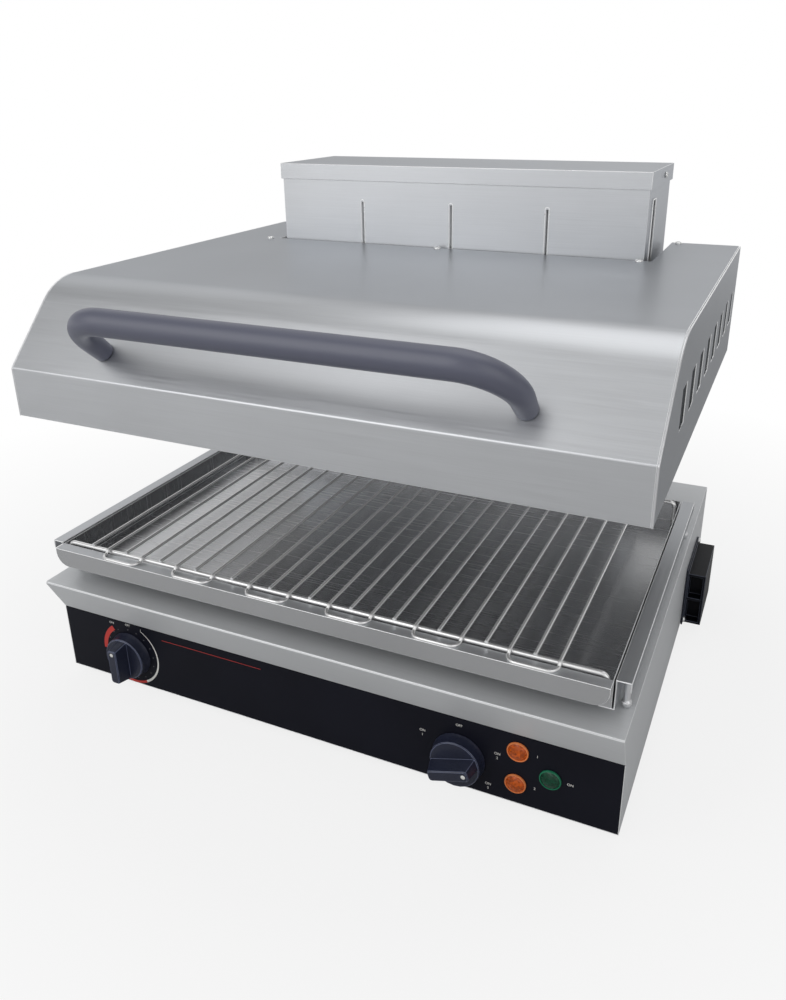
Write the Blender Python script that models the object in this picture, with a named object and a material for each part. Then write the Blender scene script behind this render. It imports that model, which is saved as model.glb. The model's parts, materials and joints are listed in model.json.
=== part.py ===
"""Countertop salamander grill: a heated hood that rises and falls on a rear mast above a wire grid
and a drip tray. Metres, +Z up, +Y to the back. Sizes are written from the control panel's front
face and from the counter; an empty then puts the whole appliance over the origin."""
import math

import bmesh
import bpy
from mathutils import Matrix, Vector

# General
SHEET = 0.0012                 # stainless sheet of the casings
GAP = 0.0003                   # air between two pieces that touch
OVERRUN = 0.006                # how far a cutter runs past what it cuts
WELD_SINK = 0.0004             # how deep two welded shapes enter each other

# Base casing
BASE_WIDTH = 0.600
BASE_REAR = 0.497              # back face, behind the panel's front
FOOT_HEIGHT = 0.012            # counter to the casing's lower edge
PANEL_HEIGHT = 0.0746
CHIN_REACH = 0.0206
CHIN_HEIGHT = 0.0401
CHIN_TIP_RADIUS = 0.002
DECK_REAR_RADIUS = 0.004
OVERLAY_THICKNESS = 0.001
FLOOR_RAISE = 0.0005           # floor plate above the casing's lower edge
FLOOR_FLANGE_CLEARANCE = 0.0015   # under the selector's case
FLOOR_VENT_LENGTH = 0.060
FLOOR_VENT_WIDTH = 0.006
FLOOR_VENT_PITCH = 0.040
FLOOR_VENT_COUNT = 7
FLOOR_VENT_Y = 0.170
REAR_VENT_HEIGHT = 0.035
REAR_VENT_WIDTH = 0.005
REAR_VENT_PITCH = 0.014
REAR_VENT_COUNT = 9
REAR_VENT_LOW = 0.030          # above the casing's lower edge

# Feet
FOOT_TOP_RADIUS = 0.0125
FOOT_BOTTOM_RADIUS = 0.015
FOOT_EDGE = 0.001
FOOT_INSET = 0.045
FOOT_RECESS_RADIUS = 0.0068
FOOT_RECESS_DEPTH = 0.003
FOOT_STUD_RADIUS = 0.0025
FOOT_STUD_END = 0.006          # stud above the floor plate

# Control panel
TIMER_INSET = 0.084            # from the casing's left side
TIMER_HEIGHT_SHARE = 0.48928   # of the panel's height
SELECTOR_INSET = 0.145         # from the casing's right side
SELECTOR_HEIGHT_SHARE = 0.42895
KNOB_SKIRT_RADIUS = 0.0252
KNOB_BODY_RADIUS = 0.0236
KNOB_SKIRT_DEPTH = 0.004
KNOB_BODY_DEPTH = 0.0115
KNOB_DEPTH = 0.0272
KNOB_EDGE = 0.0008
GRIP_BASE_LENGTH = 0.0450
GRIP_BASE_WIDTH = 0.0130
GRIP_TIP_LENGTH = 0.0390
GRIP_TIP_WIDTH = 0.0104
GRIP_CORNER = 0.0025
SELECTOR_REST_ANGLE = 72.0     # degrees clockwise from upright
SPINDLE_RADIUS = 0.003
SPINDLE_IN_KNOB = 0.014
SPINDLE_IN_CASE = 0.012
SPINDLE_HOLE_CLEARANCE = 0.001
SWITCH_CASE_WIDTH = 0.042
SWITCH_CASE_DEPTH = 0.040
LAMP_RADIUS = 0.0098
LAMP_PROUD = 0.0042
LAMP_RIM = 0.0014
LAMP_DOME_SHARES = ((1.0, 0.0), (1.0, 0.34), (0.84, 0.62), (0.5, 0.92), (0.0, 1.0))
LAMP_BARREL_RADIUS = 0.0058
LAMP_BARREL_LENGTH = 0.026
AMBER_UPPER_INSET = 0.0906     # from the casing's right side
AMBER_UPPER_SHARE = 0.7654     # of the panel's height
AMBER_LOWER_INSET = 0.0915
AMBER_LOWER_SHARE = 0.2962
GREEN_INSET = 0.0609
GREEN_SHARE = 0.5027

# Supply entry and terminals
GLAND_INSET = 0.100            # from the casing's left side
GLAND_HEIGHT = 0.038
GLAND_BORE = 0.0055
GLAND_THREAD_RADIUS = 0.0078
GLAND_HEX_RADIUS = 0.0125
GLAND_HEX_DEPTH = 0.006
GLAND_DOME_RADIUS = 0.0105
GLAND_REACH = 0.018
GLAND_INNER_REACH = 0.012
GLAND_NUT_RADIUS = 0.0115
GLAND_NUT_DEPTH = 0.005
TERMINAL_LENGTH = 0.038
TERMINAL_WIDTH = 0.022
TERMINAL_HEIGHT = 0.020
TERMINAL_CELL = 0.010
TERMINAL_WALL = 0.002
TERMINAL_SETBACK = 0.060       # from the back wall

# Side grips
GRIP_BLOCK_SETBACK = 0.145     # front of the block ahead of the casing's back
GRIP_BLOCK_LENGTH = 0.083
GRIP_BLOCK_PROUD = 0.0212
GRIP_BLOCK_HEIGHT = 0.065
GRIP_FLANGE_THICKNESS = 0.002
GRIP_FLANGE_FRONT = 0.007
GRIP_FLANGE_TOP = 0.008
GRIP_WALL = 0.003
GRIP_CELL_DEPTH = 0.012
GRIP_HAND_DEPTH = 0.040

# Fasteners
SCREW_HEAD_RADIUS = 0.0034
SCREW_HEAD_HEIGHT = 0.0022
SCREW_SHANK_RADIUS = 0.0015
SCREW_HOLE_RADIUS = 0.0021
SCREW_LENGTH = 0.006
SCREW_SIDES = 8
SCREW_HEAD_SHARES = ((0.0, 1.0), (0.72, 0.82), (1.0, 0.30), (1.0, 0.0))

# Tray rails
RAIL_REAR_ROOM = 0.0067        # a rail's end ahead of the mast
RAIL_FRONT = -0.001
RAIL_SIDE_SETBACK = 0.0012     # inside the casing's side
RAIL_TOP_WIDTH = 0.0130
RAIL_LIP = 0.0092
RAIL_LEDGE = 0.012
POST_RADIUS = 0.0025
POST_COLLAR_RADIUS = 0.0040
POST_COLLAR_HEIGHT = 0.0032
POST_FRONT_SETBACK = 0.024     # from a rail's front end
POST_REAR_SETBACK = 0.008

# Drip tray
TRAY_SIDE_GAP = 0.0013         # tray inside its rail
TRAY_FRONT = -0.0016
TRAY_LIFT = 0.0130             # underside above the deck
TRAY_DEPTH = 0.0265
TRAY_SHEET = 0.001
LIP_REACH = 0.0111             # rim ahead of the tray's front wall
LIP_HEIGHT = 0.0190
LIP_CORNER = 0.014
TRAY_TRAVEL_ROOM = 0.0008      # rail top above the tray's rim

# Cooking grid
WIRE_RADIUS = 0.0015
ROD_RADIUS = 0.00225
WIRE_COUNT = 24
FIRST_WIRE_INSET = 0.0322      # from a rod's left end
LAST_WIRE_INSET = 0.0382       # from its right end
ROD_END_ROOM = 0.0055          # a rod's end inside the tray's side
ROD_BEND_RADIUS = 0.006
FRONT_ROD_Y = 0.0030
REAR_ROD_SETBACK = 0.0090      # ahead of the tray's back
WIRE_PAST_ROD = 0.003
LOOP_FRONT_Y = -0.0118
LOOP_CORNER_SHARE = 0.4        # of the pitch of the wires
STEP_START = 0.0035            # ahead of the front rod
STEP_END = 0.0070
WIRE_SIDES = 6
ROD_SIDES = 10

# Mast
MAST_SIDE_SETBACK = 0.082      # inside the casing's side
MAST_REAR_SETBACK = 0.0123     # ahead of the casing's back
MAST_DEPTH = 0.1260
CAP_OVERHANG = 0.0021
CAP_REAR_OVERHANG = 0.0050
CAP_HEIGHT = 0.0177
MAST_HEIGHT = 0.392            # cap's top above the deck
ARM_PITCH_SHARE = 0.5115       # of half the mast's width
ARM_SLOT_WIDTH = 0.0030
ARM_SLOT_DROP = 0.0412         # below the cap's top
SIDE_SLOT_FRONT = 0.0215       # behind the mast's front
SIDE_SLOT_WIDTH = 0.0150
SIDE_SLOT_DROP = 0.0307
SLOT_LOW_ROOM = 0.004          # slot below the lowest arm
CAP_SCREW_SETBACK = 0.0773     # behind the mast's front
MAST_VENT_WIDTH = 0.060
MAST_VENT_HEIGHT = 0.006
MAST_VENT_PITCH = 0.018
MAST_VENT_COUNT = 4
MAST_VENT_LOW = 0.170
WELL_MARGIN = 0.028            # deck left inside the mast's outline

# Lift inside the mast
HOOD_RISE_SHARE = 0.22194      # of the mast's height
HOOD_DROP_SHARE = 0.21684
ROD_LINE_SETBACK = 0.0643      # rods and struts behind the mast's front
GUIDE_INSET = 0.068            # inside the mast's side
GUIDE_RADIUS = 0.007
GUIDE_SIDES = 16
BUSHING_WALL = 0.004
CROSSHEAD_INSET = 0.042
CROSSHEAD_DEPTH = 0.040
LOWER_CROSSHEAD_HEIGHT = 0.016
UPPER_CROSSHEAD_HEIGHT = 0.014
UPPER_CROSSHEAD_DROP = 0.016   # below the cap's top
CROSSHEAD_BITE = 0.010         # how far rods and studs enter
ARM_TOP_ROOM = 0.0005
ARM_HEIGHT = 0.042
ARM_THICKNESS = 0.002
ARM_TAB = 0.014
CARRIAGE_PLATE = 0.003
SIDE_TAB = 0.016
SHELF_INSET = 0.030            # shelf's end inside the guide rod
SHELF_DEPTH = 0.058
BLOCK_HALF_WIDTH = 0.018
BLOCK_DEPTH = 0.056
STRUT_PLACE_SHARE = 0.5        # of the guide rods' distance from the middle
STRUT_BODY_RADIUS = 0.009
STRUT_BORE_RADIUS = 0.0076
STRUT_ROD_RADIUS = 0.004
STRUT_PISTON_RADIUS = 0.0072
STRUT_PISTON_HEIGHT = 0.008
STRUT_NECK = 0.009
STRUT_STUD_RADIUS = 0.004
STRUT_END_ROOM = 0.003         # left at each end of the stroke
STRUT_TOP_ROOM = 0.008         # under the lowest carriage

# Hood
HOOD_SIDE_OVERHANG = 0.00265   # past the casing's side
HOOD_FRONT = -0.0105
HOOD_REAR_SETBACK = 0.0069     # ahead of the casing's back
HOOD_BELOW_CAP = 0.2109        # its lower edge under the cap's top, at rest
HOOD_BAND = 0.0481
HOOD_HEIGHT = 0.1222
HOOD_BEND_Y = 0.0598           # where the slope's line meets the top's
BAND_RADIUS = 0.003
SLOPE_RADIUS = 0.060
NOTCH_CAP_CLEARANCE = 0.0006   # notch ahead of the mast's cap
NOTCH_SIDE_GAP = 0.0085
FRAME_INSET = 0.0015           # back frame ahead of the notch edge
LOUVRE_COUNT = 8
LOUVRE_REAR_ROOM = 0.0482      # last louvre's middle ahead of the hood's back
LOUVRE_FIRST_Y = 0.0800
LOUVRE_WIDTH = 0.0250
LOUVRE_HEIGHT = 0.0345
LOUVRE_LOW = 0.0410            # above the hood's lower edge
TOP_SCREW_SETBACK = 0.0055
TOP_SCREW_LEFT_OUTSET = 0.0100 # past the notch's corner
TOP_SCREW_MIDDLE_X = -0.0128
TOP_SCREW_RIGHT_INSET = 0.0122
TOP_SCREW_REAR_OUTSET = 0.0081
TOP_SCREW_REAR_INSET = 0.0080

# Handle
HANDLE_RADIUS = 0.0122
HANDLE_FOOT_RADIUS = 0.0092
HANDLE_SIDE_ROOM = 0.10115     # a foot's middle inside the hood's side
HANDLE_STANDOFF = 0.0620
HANDLE_BEND = 0.0430
HANDLE_FOOT_UP = 0.0285        # foot centre above the band's edge, along the slope
HANDLE_SIDES = 16
HANDLE_BEND_STEPS = 8
HANDLE_STUD_RADIUS = 0.003
HANDLE_STUD_LENGTH = 0.010     # inside the hood

# Heating parts in the hood
PAN_SIDE_ROOM = 0.01765        # inside the hood's side
PAN_FRONT = 0.0120
PAN_REAR_SETBACK = 0.0287      # ahead of the mast
PAN_DEPTH = 0.0480
PAN_SHEET = 0.0008
PAN_RAISE = 0.0010             # flange above the hood's lower edge
SLAB_THICKNESS = 0.030
SLAB_MARGIN = 0.008
SLAB_FRONT_MARGIN = 0.028
SLAB_REAR_MARGIN = 0.034
ELEMENT_RADIUS = 0.004
ELEMENT_RUNS = 8
ELEMENT_SIDE_ROOM = 0.0285     # last run's middle inside the pan's side
ELEMENT_FIRST_X = 0.0150
ELEMENT_HEIGHT = 0.0240        # tube centre above the hood's lower edge
ELEMENT_FRONT = 0.0350
ELEMENT_REAR_ROOM = 0.032      # ahead of the pan's back
ELEMENT_SIDES = 8
ELEMENT_TAIL = 0.0140          # rear tails above the pan's roof
ELEMENT_FITTING_RADIUS = 0.0075
ELEMENT_FITTING_HEIGHT = 0.009
RACK_BAR_WIDTH = 0.012
RACK_BAR_COUNT = 3
RACK_FIRST_Y = 0.065
RACK_REAR_ROOM = 0.063         # last bar ahead of the elements' rear
RACK_RAIL_HEIGHT = 0.010

# Levels that follow from the sizes above
CASING_LOW = FOOT_HEIGHT
PANEL_TOP = CASING_LOW + PANEL_HEIGHT
DECK = PANEL_TOP + CHIN_HEIGHT
TIMER_X = TIMER_INSET - BASE_WIDTH / 2
SELECTOR_X = BASE_WIDTH / 2 - SELECTOR_INSET
SELECTOR_HEIGHT = PANEL_HEIGHT * SELECTOR_HEIGHT_SHARE
GLAND_X = GLAND_INSET - BASE_WIDTH / 2
FLOOR_FLANGE = SELECTOR_HEIGHT - SWITCH_CASE_WIDTH / 2 - FLOOR_RAISE - FLOOR_FLANGE_CLEARANCE
WALL_FRONT = OVERLAY_THICKNESS + GAP
FLOOR_LOW = CASING_LOW + FLOOR_RAISE
FLOOR_TOP = FLOOR_LOW + SHEET
TIMER_Z = CASING_LOW + PANEL_HEIGHT * TIMER_HEIGHT_SHARE
SELECTOR_Z = CASING_LOW + SELECTOR_HEIGHT
GLAND_Z = CASING_LOW + GLAND_HEIGHT
TRAY_LOW = DECK + TRAY_LIFT
TRAY_TOP = TRAY_LOW + TRAY_DEPTH
GRIP_BLOCK_FRONT = BASE_REAR - GRIP_BLOCK_SETBACK
MAST_FRONT = BASE_REAR - MAST_REAR_SETBACK - MAST_DEPTH
RAIL_INNER = BASE_WIDTH / 2 - RAIL_SIDE_SETBACK - RAIL_TOP_WIDTH
RAIL_REAR = MAST_FRONT - RAIL_REAR_ROOM
TRAY_HALF_WIDTH = RAIL_INNER - TRAY_SIDE_GAP
TRAY_REAR = RAIL_REAR
RAIL_TOP = TRAY_TOP + TRAY_TRAVEL_ROOM
LOOP_Z = TRAY_TOP + WIRE_RADIUS + GAP
ROD_Z = TRAY_TOP + WIRE_RADIUS
WIRE_Z = ROD_Z + ROD_RADIUS + WIRE_RADIUS - WELD_SINK
ROD_HALF_LENGTH = TRAY_HALF_WIDTH - ROD_END_ROOM
REAR_ROD_Y = TRAY_REAR - REAR_ROD_SETBACK
FIRST_WIRE_X = FIRST_WIRE_INSET - ROD_HALF_LENGTH
WIRE_PITCH = (ROD_HALF_LENGTH - LAST_WIRE_INSET - FIRST_WIRE_X) / (WIRE_COUNT - 1)
LOOP_CORNER = WIRE_PITCH * LOOP_CORNER_SHARE
MAST_REAR = MAST_FRONT + MAST_DEPTH
MAST_HALF_WIDTH = BASE_WIDTH / 2 - MAST_SIDE_SETBACK
CAP_TOP = DECK + MAST_HEIGHT
HOOD_RISE = MAST_HEIGHT * HOOD_RISE_SHARE
HOOD_DROP = MAST_HEIGHT * HOOD_DROP_SHARE
ARM_PITCH = MAST_HALF_WIDTH * ARM_PITCH_SHARE
ARM_SLOT_TOP = CAP_TOP - ARM_SLOT_DROP
SIDE_SLOT_TOP = CAP_TOP - SIDE_SLOT_DROP
CAP_SCREW_Y = MAST_FRONT + CAP_SCREW_SETBACK
ROD_LINE_Y = MAST_FRONT + ROD_LINE_SETBACK
GUIDE_X = MAST_HALF_WIDTH - GUIDE_INSET
STRUT_X = GUIDE_X * STRUT_PLACE_SHARE
SHELF_HALF_WIDTH = GUIDE_X - SHELF_INSET
CROSSHEAD_HALF_WIDTH = MAST_HALF_WIDTH - CROSSHEAD_INSET
CARRIAGE_PLATE_Y = MAST_FRONT + SIDE_SLOT_FRONT + (SIDE_SLOT_WIDTH - CARRIAGE_PLATE) / 2
HOOD_BOTTOM = CAP_TOP - HOOD_BELOW_CAP
HOOD_HALF_WIDTH = BASE_WIDTH / 2 + HOOD_SIDE_OVERHANG
HOOD_REAR = BASE_REAR - HOOD_REAR_SETBACK
LOUVRE_PITCH = (HOOD_REAR - LOUVRE_REAR_ROOM - LOUVRE_FIRST_Y) / (LOUVRE_COUNT - 1)
HANDLE_HALF_SPAN = HOOD_HALF_WIDTH - HANDLE_SIDE_ROOM
HOOD_BAND_TOP = HOOD_BOTTOM + HOOD_BAND
HOOD_TOP = HOOD_BOTTOM + HOOD_HEIGHT
ARM_TOP = ARM_SLOT_TOP - HOOD_RISE - ARM_TOP_ROOM
ARM_LOW = ARM_TOP - ARM_HEIGHT
NOTCH_FRONT = MAST_FRONT - CAP_OVERHANG - NOTCH_CAP_CLEARANCE
NOTCH_HALF_WIDTH = MAST_HALF_WIDTH + NOTCH_SIDE_GAP
FRAME_REAR_FACE = NOTCH_FRONT - FRAME_INSET
PAN_HALF_WIDTH = HOOD_HALF_WIDTH - PAN_SIDE_ROOM
PAN_REAR = MAST_FRONT - PAN_REAR_SETBACK
PAN_LOW = HOOD_BOTTOM + PAN_RAISE
PAN_ROOF = PAN_LOW + PAN_DEPTH
ELEMENT_Z = HOOD_BOTTOM + ELEMENT_HEIGHT
ELEMENT_PITCH = (PAN_HALF_WIDTH - ELEMENT_SIDE_ROOM - ELEMENT_FIRST_X) / (ELEMENT_RUNS - 1)
ELEMENT_REAR = PAN_REAR - ELEMENT_REAR_ROOM
RACK_PITCH = (ELEMENT_REAR - RACK_REAR_ROOM - RACK_FIRST_Y) / (RACK_BAR_COUNT - 1)
SLOPE_ANGLE = math.atan2(HOOD_TOP - HOOD_BAND_TOP, HOOD_BEND_Y - HOOD_FRONT)
HANDLE_Y = (
    HOOD_FRONT + math.cos(SLOPE_ANGLE) * HANDLE_FOOT_UP - math.sin(SLOPE_ANGLE) * HANDLE_STANDOFF
)
FRONT_REACH = HANDLE_Y - HANDLE_RADIUS
REAR_REACH = BASE_REAR + GLAND_REACH
MIDDLE_Y = (FRONT_REACH + REAR_REACH) / 2


def clear_scene():
    for obj in list(bpy.data.objects):
        bpy.data.objects.remove(obj, do_unlink=True)


def finish(name, colour, roughness, metallic):
    """A Principled material; the colour is linear RGB."""
    material = bpy.data.materials.new(name)
    material.use_nodes = True
    shader = material.node_tree.nodes["Principled BSDF"]
    shader.inputs["Base Color"].default_value = (*colour, 1.0)
    shader.inputs["Roughness"].default_value = roughness
    shader.inputs["Metallic"].default_value = metallic
    material.diffuse_color = (*colour, 1.0)
    return material


def empty(name, place, parent=None):
    obj = bpy.data.objects.new(name, None)
    obj.location = place
    obj.parent = parent
    bpy.context.scene.collection.objects.link(obj)
    return obj


def add_rings(bm, rings, closed_loop=False):
    """Skins rings of equal length into one body, with flat ends or joined into a loop."""
    made = [[bm.verts.new(point) for point in ring] for ring in rings]
    pairs = list(zip(made, made[1:]))
    if closed_loop:
        pairs.append((made[-1], made[0]))
    for first, second in pairs:
        for i in range(len(first)):
            j = (i + 1) % len(first)
            bm.faces.new((first[i], first[j], second[j], second[i]))
    if not closed_loop:
        bm.faces.new(made[0])
        bm.faces.new(made[-1])


def add_box(bm, low, high):
    ring = [(low[0], low[1]), (high[0], low[1]), (high[0], high[1]), (low[0], high[1])]
    add_rings(bm, [[(x, y, z) for x, y in ring] for z in (low[2], high[2])])


def add_prism(bm, outline, axis, start, end):
    """Extrudes an outline along x, y or z. Its two values are the other two axes, in order."""
    rings = []
    for level in (start, end):
        ring = []
        for point in outline:
            values = list(point)
            values.insert("xyz".index(axis), level)
            ring.append(values)
        rings.append(ring)
    add_rings(bm, rings)


def pointing(place, direction):
    """A matrix that takes local +Z to the direction, with its origin at the place."""
    turn = Vector((0, 0, 1)).rotation_difference(Vector(direction)).to_matrix().to_4x4()
    return Matrix.Translation(place) @ turn


def add_turned(bm, profile, place, sides, bored=False):
    """Turns (radius, height) points round the local Z axis. A bored profile is a closed loop."""
    rings = []
    for radius, height in profile:
        if radius == 0:
            rings.append([bm.verts.new(place @ Vector((0, 0, height)))])
            continue
        ring = []
        for i in range(sides):
            angle = math.tau * i / sides
            point = Vector((radius * math.cos(angle), radius * math.sin(angle), height))
            ring.append(bm.verts.new(place @ point))
        rings.append(ring)
    pairs = list(zip(rings, rings[1:]))
    if bored:
        pairs.append((rings[-1], rings[0]))
    for first, second in pairs:
        for i in range(sides):
            j = (i + 1) % sides
            corners = [first[i % len(first)], first[j % len(first)]]
            corners += [second[j % len(second)], second[i % len(second)]]
            bm.faces.new(list(dict.fromkeys(corners)))
    if not bored:
        for ring in (rings[0], rings[-1]):
            if len(ring) > 1:
                bm.faces.new(ring)


def add_cylinder(bm, radius, low, high, sides):
    """A plain cylinder between two points."""
    low = Vector(low)
    along = Vector(high) - low
    profile = [(radius, 0), (radius, along.length)]
    add_turned(bm, profile, pointing(low, along.normalized()), sides)


def add_tube(bm, points, radii, sides, flat):
    """A round tube along points whose turns all lie square to the direction flat."""
    points = [Vector(point) for point in points]
    flat = Vector(flat).normalized()
    rings = []
    for i, (point, radius) in enumerate(zip(points, radii)):
        before = (point - points[i - 1]).normalized() if i else None
        after = (points[i + 1] - point).normalized() if i + 1 < len(points) else None
        heading = ((before or after) + (after or before)).normalized()
        stretch = 1 / heading.dot(after or before)
        across = flat.cross(heading).normalized() * stretch
        ring = []
        for k in range(sides):
            angle = math.tau * (k + 0.5) / sides
            ring.append(point + flat * radius * math.cos(angle) + across * radius * math.sin(angle))
        rings.append(ring)
    add_rings(bm, rings)


def add_screw(bm, seat, outward):
    """A round-headed screw whose head stands on the seat and whose shank runs inwards."""
    profile = [
        (SCREW_HEAD_RADIUS * wide, SCREW_HEAD_HEIGHT * high) for wide, high in SCREW_HEAD_SHARES
    ]
    profile += [(SCREW_SHANK_RADIUS, 0), (SCREW_SHANK_RADIUS, -SCREW_LENGTH)]
    seat = Vector(seat) + Vector(outward) * GAP
    add_turned(bm, profile, pointing(seat, outward), SCREW_SIDES)


def make_screw(name, seat, outward, parent, zinc):
    add_object(name, lambda bm: add_screw(bm, seat, outward), parent, zinc, smooth=True)


def add_screw_hole(bm, seat, outward, depth):
    """The cutter of a screw's hole through a wall of the given depth."""
    seat = Vector(seat)
    outward = Vector(outward)
    low = seat - outward * (depth + OVERRUN)
    add_cylinder(bm, SCREW_HOLE_RADIUS, low, seat + outward * OVERRUN, SCREW_SIDES)


def arc(centre, radius, start, end, steps):
    """Points of an arc, in degrees, both ends included."""
    points = []
    for i in range(steps + 1):
        angle = math.radians(start + (end - start) * i / steps)
        points.append((centre[0] + radius * math.cos(angle), centre[1] + radius * math.sin(angle)))
    return points


def rounded(path, radii, steps):
    """An open path whose inner corners are rounded; radii has one value for each of them."""
    points = [Vector(path[0])]
    for before, corner, after, radius in zip(path, path[1:], path[2:], radii):
        corner = Vector(corner)
        towards = (Vector(before) - corner).normalized()
        away = (Vector(after) - corner).normalized()
        half = towards.angle(away) / 2
        if radius == 0:
            points.append(corner)
            continue
        middle = corner + (towards + away).normalized() * radius / math.sin(half)
        first = corner + towards * radius / math.tan(half) - middle
        last = corner + away * radius / math.tan(half) - middle
        turn = first.angle_signed(last)
        for i in range(steps + 1):
            points.append(middle + Matrix.Rotation(-turn * i / steps, 2) @ first)
    points.append(Vector(path[-1]))
    return [tuple(point) for point in points]


def offset(path, distance):
    """The open path moved to its left by the distance, with mitred corners."""
    points = [Vector(point) for point in path]
    moved = []
    for i, point in enumerate(points):
        normals = []
        if i:
            step = point - points[i - 1]
            normals.append(Vector((-step.y, step.x)).normalized())
        if i + 1 < len(points):
            step = points[i + 1] - point
            normals.append(Vector((-step.y, step.x)).normalized())
        middle = (normals[0] + normals[-1]).normalized()
        moved.append(tuple(point + middle * distance / middle.dot(normals[0])))
    return moved


def folded(path, thickness):
    """The closed outline of a folded sheet whose left face follows the path."""
    return list(path) + offset(path, -thickness)[::-1]


def rounded_box(width, height, corner, steps):
    """A closed outline with round corners, centred on zero."""
    points = []
    for start, sx, sy in ((0, 1, 1), (90, -1, 1), (180, -1, -1), (270, 1, -1)):
        centre = (sx * (width / 2 - corner), sy * (height / 2 - corner))
        points += arc(centre, corner, start, start + 90, steps)
    return points


def add_object(name, draw, parent, material, smooth=False):
    """Draws into a new mesh and makes it a named object."""
    bm = bmesh.new()
    draw(bm)
    bmesh.ops.recalc_face_normals(bm, faces=bm.faces)
    mesh = bpy.data.meshes.new(name)
    bm.to_mesh(mesh)
    bm.free()
    if smooth:
        mesh.shade_smooth()
        mesh.set_sharp_from_angle(angle=math.radians(35))
    if material:
        mesh.materials.append(material)
    obj = bpy.data.objects.new(name, mesh)
    obj.parent = parent
    bpy.context.scene.collection.objects.link(obj)
    return obj


def boolean(obj, label, operation, draw):
    """Cuts or joins what draw makes, which stays in the scene as a wire helper."""
    helper = add_object(f"{obj.name}_{label}", draw, obj.parent, None)
    helper.hide_render = True
    helper.display_type = "WIRE"
    modifier = obj.modifiers.new(label, "BOOLEAN")
    modifier.operation = operation
    modifier.solver = "EXACT"
    modifier.object = helper


def cut(obj, label, draw):
    boolean(obj, label, "DIFFERENCE", draw)


def weld(obj, label, draw):
    boolean(obj, label, "UNION", draw)


def casing_path():
    """The casing's side view (y, z): panel recess, chin, deck and back."""
    corners = [
        (WALL_FRONT, CASING_LOW),
        (WALL_FRONT, PANEL_TOP),
        (0, PANEL_TOP),
        (-CHIN_REACH, DECK),
        (BASE_REAR, DECK),
        (BASE_REAR, CASING_LOW),
    ]
    return rounded(corners, (0, 0, CHIN_TIP_RADIUS, DECK_REAR_RADIUS), 3)


def panel_level(share):
    return CASING_LOW + PANEL_HEIGHT * share


def lamp_places():
    """Name, x and z of each signal lamp."""
    side = BASE_WIDTH / 2
    return (
        ("amber_lamp_upper", side - AMBER_UPPER_INSET, panel_level(AMBER_UPPER_SHARE)),
        ("amber_lamp_lower", side - AMBER_LOWER_INSET, panel_level(AMBER_LOWER_SHARE)),
        ("green_lamp", side - GREEN_INSET, panel_level(GREEN_SHARE)),
    )


def control_places():
    """Name, x and z of each control behind the panel."""
    return (("timer", TIMER_X, TIMER_Z), ("selector", SELECTOR_X, SELECTOR_Z))


def foot_places():
    front = FOOT_INSET
    back = BASE_REAR - FOOT_INSET
    side = BASE_WIDTH / 2 - FOOT_INSET
    return (
        ("foot_front_left", -side, front),
        ("foot_front_right", side, front),
        ("foot_back_left", -side, back),
        ("foot_back_right", side, back),
    )


def add_panel_holes(bm):
    """Cutters for the spindles and the lamps, through the overlay and the front wall."""
    reach = WALL_FRONT + SHEET + OVERRUN
    for _, x, z in control_places():
        radius = SPINDLE_RADIUS + SPINDLE_HOLE_CLEARANCE
        add_cylinder(bm, radius, (x, -OVERRUN, z), (x, reach, z), GUIDE_SIDES)
    for _, x, z in lamp_places():
        radius = LAMP_BARREL_RADIUS + GAP * 2
        add_cylinder(bm, radius, (x, -OVERRUN, z), (x, reach, z), GUIDE_SIDES)


def mast_well():
    """Half width, front and back of the hole in the deck under the mast."""
    return MAST_HALF_WIDTH - WELL_MARGIN, MAST_FRONT + WELL_MARGIN / 2, MAST_REAR - WELL_MARGIN / 2


def make_base_housing(parent, steel):
    half = BASE_WIDTH / 2
    path = casing_path()
    inner = offset(path, -SHEET)
    low = CASING_LOW - OVERRUN
    hollow = [(inner[0][0], low)] + inner + [(inner[-1][0], low)]

    def draw_openings(bm):
        well_half, well_front, well_back = mast_well()
        add_box(
            bm,
            (-well_half, well_front, DECK - SHEET - OVERRUN),
            (well_half, well_back, DECK + OVERRUN),
        )
        back = BASE_REAR - SHEET - OVERRUN
        first = -REAR_VENT_PITCH * (REAR_VENT_COUNT - 1) / 2
        for i in range(REAR_VENT_COUNT):
            x = first + REAR_VENT_PITCH * i
            z = CASING_LOW + REAR_VENT_LOW
            add_box(
                bm,
                (x - REAR_VENT_WIDTH / 2, back, z),
                (x + REAR_VENT_WIDTH / 2, BASE_REAR + OVERRUN, z + REAR_VENT_HEIGHT),
            )
        hole = GLAND_THREAD_RADIUS + GAP
        place = (GLAND_X, back, GLAND_Z)
        add_cylinder(bm, hole, place, (GLAND_X, BASE_REAR + OVERRUN, GLAND_Z), GUIDE_SIDES)

    def draw_grip_holes(bm):
        for side in (-1, 1):
            for seat in grip_screw_places(side):
                seat = (side * half, seat[1], seat[2])
                add_screw_hole(bm, seat, (side, 0, 0), SHEET)

    housing = add_object(
        "base_housing", lambda bm: add_prism(bm, path, "x", -half, half), parent, steel
    )
    cut(housing, "hollow", lambda bm: add_prism(bm, hollow, "x", SHEET - half, half - SHEET))
    cut(housing, "panel_holes", add_panel_holes)
    cut(housing, "openings", draw_openings)
    cut(housing, "grip_holes", draw_grip_holes)


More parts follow.
